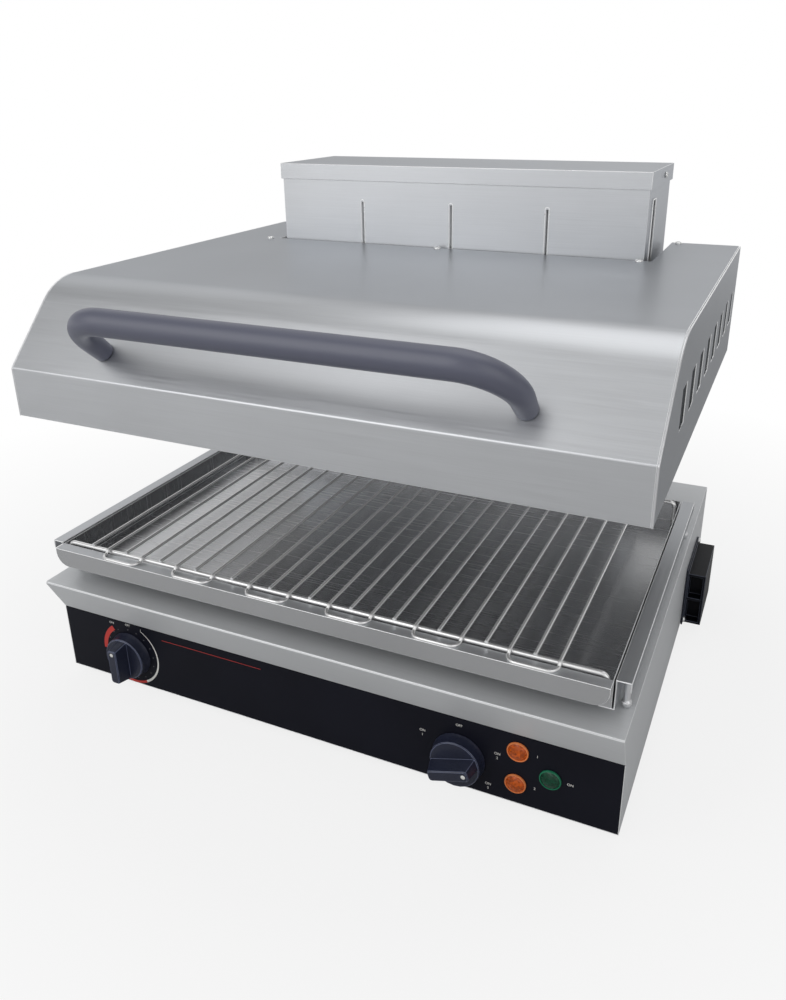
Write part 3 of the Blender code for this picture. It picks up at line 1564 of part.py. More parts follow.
def make_hood_back_frame(hood, steel):
    """One folded wall round the notch: both wings' backs, both inner sides and the front wall."""
    wing = HOOD_HALF_WIDTH - SHEET - GAP
    inner = NOTCH_HALF_WIDTH
    front = FRAME_REAR_FACE
    rear = HOOD_REAR
    right = [(inner, front), (inner, rear), (wing, rear)]
    path = [(-x, y) for x, y in right[::-1]] + right
    low = HOOD_BOTTOM
    high = HOOD_TOP - SHEET - GAP
    frame = add_object(
        "hood_back_frame",
        lambda bm: add_prism(bm, folded(path, SHEET), "z", low, high),
        hood,
        steel,
    )

    def draw_arm_slits(bm):
        for i in (-1, 0, 1):
            x = ARM_PITCH * i
            half = ARM_THICKNESS / 2 + GAP
            add_box(
                bm,
                (x - half, front - SHEET - OVERRUN, low - OVERRUN),
                (x + half, front + OVERRUN, ARM_TOP + GAP),
            )

    cut(frame, "arm_slits", draw_arm_slits)


def make_heating_pan(hood, bright):
    """The reflector: a flanged trough, open below, with holes for the elements' tails."""
    flange_half = HOOD_HALF_WIDTH - SHEET - GAP * 2
    flange_front = HOOD_FRONT + SHEET + GAP
    flange_rear = arm_tab_y() - GAP
    pan = add_object(
        "heating_pan",
        lambda bm: add_box(
            bm,
            (-flange_half, flange_front, PAN_LOW),
            (flange_half, flange_rear, PAN_LOW + PAN_SHEET),
        ),
        hood,
        bright,
    )
    weld(
        pan,
        "trough",
        lambda bm: add_box(
            bm,
            (-PAN_HALF_WIDTH, PAN_FRONT, PAN_LOW + WELD_SINK),
            (PAN_HALF_WIDTH, PAN_REAR, PAN_ROOF),
        ),
    )
    cut(
        pan,
        "hollow",
        lambda bm: add_box(
            bm,
            (PAN_SHEET - PAN_HALF_WIDTH, PAN_FRONT + PAN_SHEET, PAN_LOW - OVERRUN),
            (PAN_HALF_WIDTH - PAN_SHEET, PAN_REAR - PAN_SHEET, PAN_ROOF - PAN_SHEET),
        ),
    )

    def draw_tail_holes(bm):
        for x, y in element_tails(-1) + element_tails(1):
            add_cylinder(
                bm,
                ELEMENT_RADIUS + GAP * 2,
                (x, y, PAN_ROOF - PAN_SHEET - OVERRUN),
                (x, y, PAN_ROOF + OVERRUN),
                GUIDE_SIDES,
            )

    cut(pan, "tail_holes", draw_tail_holes)


def element_xs(side):
    return [side * (ELEMENT_FIRST_X + ELEMENT_PITCH * i) for i in range(ELEMENT_RUNS)]


def element_tails(side):
    """Where one element's two tails rise, as x and y."""
    xs = element_xs(side)
    return ((xs[0], tail_y()), (xs[-1], tail_y()))


def tail_y():
    return ELEMENT_REAR + ELEMENT_PITCH / 2


def element_points(side):
    """One serpentine tube in its own plane (x, y): straight runs joined by half circles."""
    radius = ELEMENT_PITCH / 2
    xs = element_xs(side)
    points = [(xs[0], tail_y() - ELEMENT_RADIUS * 2)]
    for i, (x, following) in enumerate(zip(xs, xs[1:])):
        at_front = i % 2 == 0
        y = ELEMENT_FRONT + radius if at_front else ELEMENT_REAR - radius
        sweep = 180 if at_front else -180
        start = 180 if side > 0 else 0
        end = start + sweep * side
        points += arc(((x + following) / 2, y), radius, start, end, 4)
    points.append((xs[-1], tail_y() - ELEMENT_RADIUS * 2))
    return [(x, y, ELEMENT_Z) for x, y in points]


def add_element(bm, side):
    """The serpentine with its two tails turned up through the pan's roof."""
    run = [Vector(point) for point in element_points(side)]
    top = PAN_ROOF + ELEMENT_TAIL
    bend = ELEMENT_RADIUS * 2
    first = tail_points(run[0], bend, top)
    last = tail_points(run[-1], bend, top)
    points = first[::-1] + run[1:-1] + last
    rings = []
    for i, point in enumerate(points):
        before = (point - points[max(i - 1, 0)]).normalized()
        after = (points[min(i + 1, len(points) - 1)] - point).normalized()
        heading = (before + after).normalized()
        across = Vector((1, 0, 0)) if abs(heading.z) > WELD_SINK else heading.cross((0, 0, 1))
        across = (across - heading * across.dot(heading)).normalized()
        if i and across.dot(previous) < 0:
            across = -across
        previous = across
        other = heading.cross(across)
        ring = []
        for k in range(ELEMENT_SIDES):
            angle = math.tau * k / ELEMENT_SIDES
            ring.append(point + (across * math.cos(angle) + other * math.sin(angle)) * ELEMENT_RADIUS)
        rings.append(ring)
    add_rings(bm, rings)


def tail_points(start, bend, top):
    """From a run's end round a quarter turn and up."""
    turned = arc((start.y, start.z + bend), bend, -90, 0, 3)
    points = [Vector((start.x, y, z)) for y, z in turned]
    points.append(Vector((start.x, start.y + bend, top)))
    return points


def make_elements(hood, sheath):
    """Serpentine tubes with a fitting on each tail, seated on the pan's roof."""
    low = PAN_ROOF + GAP

    def draw_fittings(bm, side):
        for x, y in element_tails(side):
            add_cylinder(
                bm,
                ELEMENT_FITTING_RADIUS,
                (x, y, low),
                (x, y, low + ELEMENT_FITTING_HEIGHT),
                ROD_SIDES,
            )

    for name, side in (("element_left", -1), ("element_right", 1)):
        element = add_object(
            name, lambda bm, side=side: add_element(bm, side), hood, sheath, smooth=True
        )
        weld(element, "fittings", lambda bm, side=side: draw_fittings(bm, side))


def make_element_rack(hood, bright):
    """Cross bars under the elements, turned up at both walls of the pan and joined by two rails."""
    outer = PAN_HALF_WIDTH - PAN_SHEET - GAP
    low = ELEMENT_Z - ELEMENT_RADIUS - GAP - SHEET
    high = PAN_ROOF - PAN_SHEET - GAP
    path = [(-outer, high), (-outer, low), (outer, low), (outer, high)]
    outline = folded(path, -SHEET)

    def draw_bars(bm):
        for i in range(RACK_BAR_COUNT):
            y = RACK_FIRST_Y + RACK_PITCH * i
            add_prism(bm, outline, "y", y, y + RACK_BAR_WIDTH)

    def draw_rails(bm):
        start = RACK_FIRST_Y + RACK_BAR_WIDTH / 2
        end = start + RACK_PITCH * (RACK_BAR_COUNT - 1)
        for side in (-1, 1):
            near = side * (outer - SHEET - WELD_SINK)
            far = side * (outer - WELD_SINK)
            add_box(
                bm,
                (min(near, far), start, low + SHEET / 2),
                (max(near, far), end, low + RACK_RAIL_HEIGHT),
            )

    rack = add_object("element_rack", draw_bars, hood, bright)
    weld(rack, "rails", draw_rails)


def make_insulation_slab(hood, blanket):
    half = PAN_HALF_WIDTH - SLAB_MARGIN
    low = PAN_ROOF + GAP
    add_object(
        "insulation_slab",
        lambda bm: add_box(
            bm,
            (-half, PAN_FRONT + SLAB_FRONT_MARGIN, low),
            (half, PAN_REAR - SLAB_REAR_MARGIN, low + SLAB_THICKNESS),
        ),
        hood,
        blanket,
    )


def make_handle(hood, slate):
    """A round bar whose bent ends narrow towards the slope, with studs that stand through it."""
    foot, normal, upward = slope_frame()
    centre = (HANDLE_HALF_SPAN - HANDLE_BEND, HANDLE_STANDOFF - HANDLE_BEND)
    right = [(HANDLE_HALF_SPAN, GAP)] + arc(centre, HANDLE_BEND, 0, 90, HANDLE_BEND_STEPS)
    outline = right + [(-x, out) for x, out in right[::-1]]
    points = [foot + Vector((x, 0, 0)) + normal * out for x, out in outline]
    swell = (HANDLE_RADIUS - HANDLE_FOOT_RADIUS) / HANDLE_STANDOFF
    radii = [HANDLE_FOOT_RADIUS + swell * out for _, out in outline]
    handle = add_object(
        "handle",
        lambda bm: add_tube(bm, points, radii, HANDLE_SIDES, upward),
        hood,
        slate,
        smooth=True,
    )

    def draw_studs(bm):
        for place, outward in handle_feet():
            add_cylinder(
                bm,
                HANDLE_STUD_RADIUS,
                place - outward * HANDLE_STUD_LENGTH,
                place + outward * HANDLE_RADIUS,
                SCREW_SIDES,
            )

    weld(handle, "studs", draw_studs)


def make_hood_top_screws(hood, zinc):
    for name, seat, outward in top_screw_seats():
        make_screw(name, seat, outward, hood, zinc)


def make_base(base, look):
    make_base_housing(base, look["stainless"])
    make_base_floor(base, look["stainless"])
    make_feet(base, look["rubber"])
    make_control_overlay(base, look["film"])
    for name, x, z in control_places():
        make_control_case(name, x, z, base, look["plastic"])
    make_lamps(base, look["amber"], look["green"])
    make_supply_parts(base, look["plastic"])
    make_side_grip("side_grip_left", -1, base, look["plastic"])
    make_side_grip("side_grip_right", 1, base, look["plastic"])
    make_rail("side_rail_left", -1, base, look["stainless"])
    make_rail("side_rail_right", 1, base, look["stainless"])
    make_rail_posts(base, look["chrome"])


def make_mast(base, hood, look):
    make_mast_cover(base, look["stainless"])
    make_mast_back(base, look["stainless"])
    make_mast_cap(base, look["stainless"])
    make_cap_screws(base, look["zinc"])
    make_crossheads(base, look["painted"])
    make_guide_rods(base, look["chrome"])
    make_struts(base, hood, look["painted"], look["chrome"])


def make_hood(hood, look):
    make_hood_shell(hood, look["stainless"])
    make_hood_side("hood_side_left", -1, hood, look["stainless"])
    make_hood_side("hood_side_right", 1, hood, look["stainless"])
    make_hood_back_frame(hood, look["stainless"])
    make_hood_top_screws(hood, look["zinc"])
    make_lift_carriage(hood, look["painted"])
    make_bushings(hood, look["bronze"])
    make_heating_pan(hood, look["bright"])
    make_insulation_slab(hood, look["blanket"])
    make_elements(hood, look["sheath"])
    make_element_rack(hood, look["bright"])
    make_handle(hood, look["slate"])


def make_looks():
    return {
        "stainless": finish("brushed_stainless", (0.55, 0.56, 0.58), 0.32, 1.0),
        "bright": finish("bright_stainless", (0.72, 0.72, 0.74), 0.18, 1.0),
        "film": finish("panel_film", (0.008, 0.009, 0.014), 0.35, 0.0),
        "plastic": finish("black_plastic", (0.012, 0.013, 0.018), 0.42, 0.0),
        "slate": finish("slate_handle", (0.11, 0.12, 0.16), 0.38, 0.0),
        "amber": finish("amber_lens", (0.68, 0.16, 0.02), 0.15, 0.0),
        "green": finish("green_lens", (0.005, 0.15, 0.07), 0.15, 0.0),
        "rubber": finish("black_rubber", (0.02, 0.02, 0.02), 0.8, 0.0),
        "chrome": finish("polished_chrome", (0.80, 0.80, 0.82), 0.12, 1.0),
        "zinc": finish("zinc_screws", (0.60, 0.60, 0.62), 0.30, 1.0),
        "painted": finish("grey_painted_steel", (0.20, 0.21, 0.22), 0.5, 0.0),
        "bronze": finish("sintered_bronze", (0.45, 0.27, 0.12), 0.4, 1.0),
        "blanket": finish("ceramic_blanket", (0.82, 0.80, 0.74), 0.95, 0.0),
        "sheath": finish("heater_sheath", (0.16, 0.15, 0.15), 0.5, 1.0),
    }


def main():
    clear_scene()
    look = make_looks()
    base = empty("appliance", (0, -MIDDLE_Y, 0))
    hood = empty("hood_travel", (0, 0, 0), base)
    tray = empty("tray_travel", (0, 0, 0), base)
    grid = empty("grid_travel", (0, 0, 0), tray)
    timer = empty("timer_axis", (TIMER_X, 0, TIMER_Z), base)
    selector = empty("selector_axis", (SELECTOR_X, 0, SELECTOR_Z), base)
    make_base(base, look)
    make_knob("timer", timer, 0, look["plastic"], look["chrome"])
    turn = math.radians(SELECTOR_REST_ANGLE)
    make_knob("selector", selector, turn, look["plastic"], look["chrome"])
    make_drip_tray(tray, look["stainless"])
    make_cooking_grid(grid, look["chrome"])
    make_mast(base, hood, look)
    make_hood(hood, look)


main()
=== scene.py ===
"""Looks of a countertop salamander grill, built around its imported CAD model."""
import json
import math

import bmesh
import bpy
from bpy.props import FloatProperty, FloatVectorProperty, IntProperty, PointerProperty
from mathutils import Matrix, Vector

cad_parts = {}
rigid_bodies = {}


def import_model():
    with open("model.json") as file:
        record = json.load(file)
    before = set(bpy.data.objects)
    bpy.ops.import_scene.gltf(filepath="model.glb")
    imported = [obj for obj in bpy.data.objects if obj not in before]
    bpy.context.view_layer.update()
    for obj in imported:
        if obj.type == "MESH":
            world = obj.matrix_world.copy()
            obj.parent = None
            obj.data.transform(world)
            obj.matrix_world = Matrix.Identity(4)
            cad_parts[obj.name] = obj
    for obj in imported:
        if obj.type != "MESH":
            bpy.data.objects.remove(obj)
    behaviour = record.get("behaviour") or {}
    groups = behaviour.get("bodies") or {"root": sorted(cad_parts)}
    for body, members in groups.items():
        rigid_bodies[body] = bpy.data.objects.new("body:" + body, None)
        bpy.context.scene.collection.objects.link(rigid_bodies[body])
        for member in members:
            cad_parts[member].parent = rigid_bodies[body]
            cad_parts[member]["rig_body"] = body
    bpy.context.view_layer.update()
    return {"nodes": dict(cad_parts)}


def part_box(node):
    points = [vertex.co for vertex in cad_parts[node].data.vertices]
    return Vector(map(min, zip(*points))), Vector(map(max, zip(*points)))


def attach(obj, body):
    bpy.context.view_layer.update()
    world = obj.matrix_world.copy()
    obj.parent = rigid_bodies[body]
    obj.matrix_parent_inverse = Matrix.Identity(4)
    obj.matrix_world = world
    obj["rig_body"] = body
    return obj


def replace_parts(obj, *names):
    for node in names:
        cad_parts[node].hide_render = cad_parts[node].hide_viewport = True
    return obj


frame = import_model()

bl_info = {
    "name": "Salamander grill",
    "version": (1, 0, 0),
    "blender": (4, 5, 0),
    "location": "3D View > Sidebar > Grill",
    "description": "Builds the looks of a countertop salamander grill on its CAD frame",
    "category": "Object",
}

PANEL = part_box("control_overlay")
PANEL_FACE = PANEL[0].y
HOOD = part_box("hood_shell")
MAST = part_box("mast_cover")
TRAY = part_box("drip_tray")
CORNERS = ("front_left", "front_right", "back_left", "back_right")

# Each side of the hood: its name, the place of its outer face and the way outwards
HOOD_SIDES = (
    ("left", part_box("hood_side_left")[0].x, -1),
    ("right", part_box("hood_side_right")[1].x, 1),
)

# The hood's outline in the CAD model: its front band's height and its slope's lean
BAND_HEIGHT = 0.0481
SLOPE_LEAN = 0.81171

# How a copy of a CAD node is cleaned, the fold in degrees past which its edges are rounded, and
# how much a face looks along X to count as a side
MERGE = 0.00001
FLAT = math.radians(0.5)
FOLD = 32
SIDEWAYS = 0.7

# Rounding of edges that differ from the sheets'
FILM_EDGE = 0.0002
PAN_EDGE = 0.0003
SMALL_EDGE = 0.0004
FOOT_EDGE = 0.0006
MAST_EDGES = {"mast_cover": 0.0009, "mast_back": 0.0006, "mast_cap": 0.001}

# Size of one brush line as drawn, and of one pebble of a moulded skin
STREAK_WIDTH = 0.0011
STREAK_LENGTH = 0.09
PEBBLE = 0.0006

# What worn grit leaves of the mirror at a grazing look
EDGE_TINT = "#c0c2c5"

# A noise seldom leaves this band, so a range mapped from it is used in full
NOISE_BAND = {"From Min": 0.3, "From Max": 0.7}

# How far a ground seam stands out of its corner
SEAM_PROUD = 0.0002

# The height of a pan head, as a share of its radius
HEAD_SHARE = 0.62

# The slots for the hood's arms in the mast's front: their places and their lower end
ARM_PITCH = 0.1115
ARM_SLOTS = (-ARM_PITCH, 0, ARM_PITCH)
SLOT_FOOT = 0.2590

# The panel: x and z of each control's axis, the selector's place in degrees clockwise from
# upright, and sizes of the print
TIMER = (-0.216, 0.0485)
SELECTOR = (0.155, 0.044)
SELECTOR_REST = 72
ARC_RADIUS = 0.036
TICK_RADIUS = 0.0295
TICK = 0.0005
LETTER = 0.0036

# A knob's grip: its front's distance from the panel, and its dot's from the axis
GRIP_FACE = 0.0275
DOT_RADIUS = 0.0152

# The photograph's camera, solved from the CAD model's own points
CAMERA_PLACE = (0.3744, -0.81437, 0.5946)
CAMERA_TURN = (0.4315, 0.3844, -0.0111)
CAMERA_LENS = 31.397
CAMERA_SENSOR = 36
CAMERA_SHIFT = (-0.01338, -0.05358)

# The light: a soft fill, the room as the steel mirrors it, dimmer aside and above, with one
# white card, and the point that the lamps look at
FILL_LIGHT = 0.45
WALLS = {"From Min": 0.3, "From Max": 0.9, "To Min": 1.0, "To Max": 0.6}
CEILING = {"From Min": 0.12, "From Max": 0.5, "To Min": 1.0, "To Max": 0.6}
CARD = {"From Min": 0.86, "From Max": 0.98, "To Min": 0.0, "To Max": 0.92}
CARD_HEADING = (-0.73, 0.52, 0.44)
LAMP_AIM = (0, 0, 0.25)

# The floor: how white it is seen and mirrored, by the distance from the grill
FLOOR_SEEN = {"From Min": 0.4, "From Max": 1.0, "To Min": 0.82, "To Max": 1.0}
FLOOR_MIRRORED = {"From Min": 1.6, "From Max": 4.2}
FLOOR_SIZE = 12
FLOOR_DROP = 0.0003


def linear(code):
    """Linear RGBA of an sRGB hex colour."""
    parts = [int(code[i : i + 2], 16) / 255 for i in (1, 3, 5)]
    return (*[p / 12.92 if p <= 0.04045 else ((p + 0.055) / 1.055) ** 2.4 for p in parts], 1.0)


def length(name, description, default):
    return FloatProperty(name=name, description=description, default=default, unit="LENGTH")


def colour(name, description, code):
    return FloatVectorProperty(
        name=name, description=description, default=linear(code), size=4, subtype="COLOR", min=0, max=1
    )


class GrillSizes(bpy.types.PropertyGroup):
    """Sizes of the dressed pieces."""

    sheet_edge: length("Sheet edge", "Rounding of a cut or folded sheet edge", 0.0006)
    moulded_edge: length("Moulded edge", "Rounding of a moulded plastic edge", 0.0007)
    wire_radius: length("Wire radius", "Radius of the grid's wires", 0.0016)
    rod_radius: length("Rod radius", "Radius of the grid's cross rods", 0.00225)
    wire_pitch: length("Wire pitch", "Distance between neighbouring wires", 0.0212)
    single_wires: IntProperty(name="Single wires", description="Wires that run alone", default=12)
    wire_loops: IntProperty(name="Wire loops", description="Wires bent into a loop", default=6)
    handle_radius: length("Handle radius", "Radius of the bar at its middle", 0.0122)
    handle_foot: length("Handle foot radius", "Radius where a leg meets the hood", 0.0092)
    seam_radius: length("Seam radius", "Radius of the ground seam at the hood's corners", 0.0009)
    screw_radius: length("Screw head", "Radius of a pan-head screw's head", 0.0034)
    hood_screw_radius: length("Hood screw head", "Radius of the heads in the hood's top", 0.0041)
    print_depth: length("Print depth", "Thickness of the printed marks", 0.00005)


class GrillColours(bpy.types.PropertyGroup):
    """Colours of the finishes."""

    steel: colour("Steel", "Brushed stainless steel of the casings", "#cbcdd0")
    bright: colour("Bright steel", "Inner sheet and tray", "#c6c7c9")
    film: colour("Panel film", "Printed film on the control panel", "#10111a")
    plastic: colour("Black plastic", "Side grips and the cable entry", "#0c0d12")
    navy: colour("Knobs", "Blue-black of the knobs", "#1e2233")
    slate: colour("Handle", "Slate grey of the handle", "#525567")
    amber: colour("Amber", "Lens of the heating lamps", "#b8500f")
    green: colour("Green", "Lens of the mains lamp", "#023d28")
    white: colour("White print", "White marks on the panel", "#e9e8e4")
    red: colour("Red print", "Red marks on the panel", "#c8372f")


def sizes():
    return bpy.context.scene.grill_sizes


def add_node(tree, kind, inputs=None, **settings):
    """Adds a node; a socket given as an input is linked, and any other value is set."""
    node = tree.nodes.new(kind)
    for name, value in settings.items():
        setattr(node, name, value)
    for key, value in (inputs or {}).items():
        if isinstance(value, bpy.types.NodeSocket):
            tree.links.new(value, node.inputs[key])
        else:
            node.inputs[key].default_value = value
    return node


def start_material(name, base, roughness, metallic, **others):
    """A Principled material; other sockets are named with underscores."""
    material = bpy.data.materials.new(name)
    material.use_nodes = True
    shader = material.node_tree.nodes["Principled BSDF"]
    values = {"Base_Color": base, "Roughness": roughness, "Metallic": metallic, **others}
    for socket, value in values.items():
        shader.inputs[socket.replace("_", " ")].default_value = value
    return material, material.node_tree, shader


def darker(base, share):
    return (*[c * share for c in base[:3]], 1.0)


def surface(
    name, base, roughness, metallic, grain, detail=2.0, texture=0.5,
    tones=None, gloss=None, relief=None, clouds=None, **others
):
    """A Principled material with one grain, given in waves per metre along each axis, so 1000 is
    1 mm. Its noise runs through two shares of the base colour, two roughnesses and a relief of
    (depth, strength). Clouds are a slower noise: (waves per metre, detail, cover, colour)."""
    material, tree, shader = start_material(name, base, roughness, metallic, **others)
    patterns = [(grain, detail, texture)]
    if clouds:
        slow, slow_detail, cover, patch = clouds
        patterns.append((slow, slow_detail, 0.5))
    spot = add_node(tree, "ShaderNodeTexCoord").outputs["Object"]
    noises = []
    for waves, depth, rough in patterns:
        scaled = add_node(tree, "ShaderNodeMapping", {"Vector": spot, "Scale": waves})
        values = {"Vector": scaled.outputs["Vector"], "Scale": 1.0, "Detail": depth, "Roughness": rough}
        noises.append(add_node(tree, "ShaderNodeTexNoise", values).outputs["Fac"])
    mixes = []
    if tones:
        mixes.append((noises[0], darker(base, tones[0]), darker(base, tones[1])))
    if clouds:
        values = {"Value": noises[1], **NOISE_BAND, "To Min": 0.0, "To Max": cover}
        share = add_node(tree, "ShaderNodeMapRange", values).outputs["Result"]
        mixes.append((share, base, patch))
    tone = None
    for share, first, second in mixes:
        values = {0: share, 6: tone or first, 7: second}
        tone = add_node(tree, "ShaderNodeMix", values, data_type="RGBA").outputs[2]
    tree.links.new(tone, shader.inputs["Base Color"])
    if gloss:
        values = {"Value": noises[0], **NOISE_BAND, "To Min": gloss[0], "To Max": gloss[1]}
        rough = add_node(tree, "ShaderNodeMapRange", values).outputs["Result"]
        tree.links.new(rough, shader.inputs["Roughness"])
    if relief:
        values = {"Height": noises[0], "Distance": relief[0], "Strength": relief[1]}
        raised = add_node(tree, "ShaderNodeBump", values).outputs["Normal"]
        tree.links.new(raised, shader.inputs["Normal"])
    return material


def brushed_steel(name, along, base, roughness=0.33, metallic=0.93):
    """Stainless steel sheet, belt-ground in one direction. The eye sees fine parallel lines, a
    reflection smeared across them and slow cloudy patches. Real grit lines are about 0.1 mm apart,
    too fine for a render, so they are drawn about 1 mm apart."""
    heading = [float(axis == along) for axis in "xyz"]
    material = surface(
        name, base, roughness, metallic,
        [1 / STREAK_LENGTH if part else 1 / STREAK_WIDTH for part in heading], 3.0, 0.7,
        tones=(0.91, 1.09),
        gloss=(roughness - 0.05, roughness + 0.06),
        relief=(0.00002, 0.5),
        clouds=([9] * 3, 1.0, 0.35, darker(base, 0.9)),
        Anisotropic=0.4,
        Anisotropic_Rotation=0.25,
        Specular_Tint=linear(EDGE_TINT),
    )
    tree = material.node_tree
    smear = add_node(tree, "ShaderNodeCombineXYZ", dict(zip("XYZ", heading))).outputs["Vector"]
    tree.links.new(smear, tree.nodes["Principled BSDF"].inputs["Tangent"])
    return material


def polished_seam(name, base, metallic):
    """A fold, cut edge or welded corner, ground and buffed: paler and more diffuse than the sheets
    beside it, which also paints a highlight along it.
    """
    return surface(name, base, 0.3, metallic, [40] * 3, tones=(0.95, 1), gloss=(0.27, 0.33))


def tray_steel(name, base):
    """Smooth cold-rolled stainless sheet that has been heated. It mirrors what is above it softly
    and has slow dark heat clouds."""
    clouds = ((7, 11, 7), 2.0, 1.0, darker(base, 0.94))
    rolled = (12, 700, 12)
    return surface(
        name, base, 0.25, 0.95, rolled, gloss=(0.23, 0.28), relief=(0.00001, 0.3), clouds=clouds
    )


def chrome(name):
    """Nickel-chrome plate on drawn wire: bright, with a soft sheen and faint draw marks."""
    base = linear("#f6f6f6")
    return surface(name, base, 0.2, 0.68, (60, 25, 60), tones=(0.93, 1), gloss=(0.17, 0.23))


def zinc(name):
    """Zinc-plated screw steel: bright, slightly mottled."""
    base = linear("#eceded")
    return surface(name, base, 0.24, 0.7, [1500] * 3, tones=(0.9, 1), gloss=(0.18, 0.3))


def moulded_plastic(name, base, roughness, specular):
    """Injection-moulded thermoset or ABS with a spark-eroded skin: an even dark body with a fine
    pebble grain that breaks the gloss."""
    return surface(
        name, base, roughness, 0.0, [1 / PEBBLE] * 3,
        gloss=(roughness - 0.05, roughness + 0.07),
        relief=(0.00002, 0.35),
        clouds=([30] * 3, 1.0, 1.0, darker(base, 1.25)),
        Specular_IOR_Level=specular,
    )


def handle_plastic(name, base):
    """Glass-filled nylon, moulded with a silky skin: soft wide highlights along the bar."""
    return surface(
        name, base, 0.4, 0.0, (250, 1800, 1800),
        tones=(0.93, 1.07),
        gloss=(0.37, 0.44),
        relief=(0.00001, 0.3),
        Specular_IOR_Level=0.9,
    )


def panel_film(name, base):
    """Polyester overlay, printed on its back and hard-coated: near-black, with a tight orange
    peel."""
    return surface(
        name, base, 0.38, 0.0, [700] * 3,
        relief=(0.00001, 0.25),
        clouds=([12] * 3, 1.0, 1.0, darker(base, 1.3)),
        Specular_IOR_Level=0.12,
    )


def ink(name, base):
    """Screen-printing ink: flat, slightly uneven cover."""
    return surface(name, base, 0.5, 0.0, [2500] * 3, 1.0, tones=(0.86, 1))


def lens_plastic(name, base):
    """Clear coloured polycarbonate lens, cut inside into small prisms, under a glossy skin: bright and
    dark flecks of one colour are a painted sparkle, standing for the light that the prisms catch."""
    material, tree, shader = start_material(name, base, 0.12, 0.0, Specular_IOR_Level=0.35)
    spot = add_node(tree, "ShaderNodeTexCoord").outputs["Object"]
    prisms = add_node(tree, "ShaderNodeMapping", {"Vector": spot, "Scale": [480] * 3})
    values = {"Vector": prisms.outputs["Vector"], "Scale": 1.0}
    prism_cells_and_sparkle = add_node(tree, "ShaderNodeTexVoronoi", values).outputs
    # The cells' colour runs from darker to brighter lens colour: painted sparkle of the prisms
    share = add_node(tree, "ShaderNodeSeparateColor", {"Color": prism_cells_and_sparkle["Color"]}).outputs["Red"]
    values = {0: share, 6: darker(base, 0.6), 7: darker(base, 1.35)}
    tone = add_node(tree, "ShaderNodeMix", values, data_type="RGBA").outputs[2]
    tree.links.new(tone, shader.inputs["Base Color"])
    values = {"Height": prism_cells_and_sparkle["Distance"], "Distance": 0.0001, "Strength": 0.25}
    raised = add_node(tree, "ShaderNodeBump", values).outputs["Normal"]
    tree.links.new(raised, shader.inputs["Normal"])
    return material


def rubber(name):
    """Moulded rubber foot: dull black with a dusty grain."""
    base = linear("#1b1b1c")
    return surface(name, base, 0.8, 0.0, [900] * 3, 3.0, tones=(1, 1.8), relief=(0.00005, 0.4))


def painted_steel(name):
    """Grey powder coat on structural steel: a fine orange peel."""
    base = linear("#7b7e80")
    return surface(name, base, 0.5, 0.0, [450] * 3, tones=(0.9, 1), relief=(0.00006, 0.4))


def bronze(name):
    """Sintered bronze: warm, matt, with open pores."""
    base = linear("#a5763f")
    return surface(name, base, 0.45, 1.0, [1800] * 3, tones=(0.6, 1), relief=(0.00003, 0.5))


def blanket(name):
    """Needled ceramic blanket: grey-white felt of loose fibres."""
    base = linear("#8f8d88")
    felt = (160, 700, 350)
    return surface(name, base, 0.95, 0.0, felt, 5.0, 0.7, tones=(0.55, 1), relief=(0.0008, 0.7))


def heater_sheath(name):
    """Nickel-alloy heater tube after use: a dark, matt oxide with bluish and brown patches."""
    clouds = ([60] * 3, 3.0, 1.0, linear("#5d4a3c"))
    return surface(name, linear("#3f4046"), 0.5, 1.0, [60] * 3, 3.0, gloss=(0.4, 0.6), clouds=clouds)


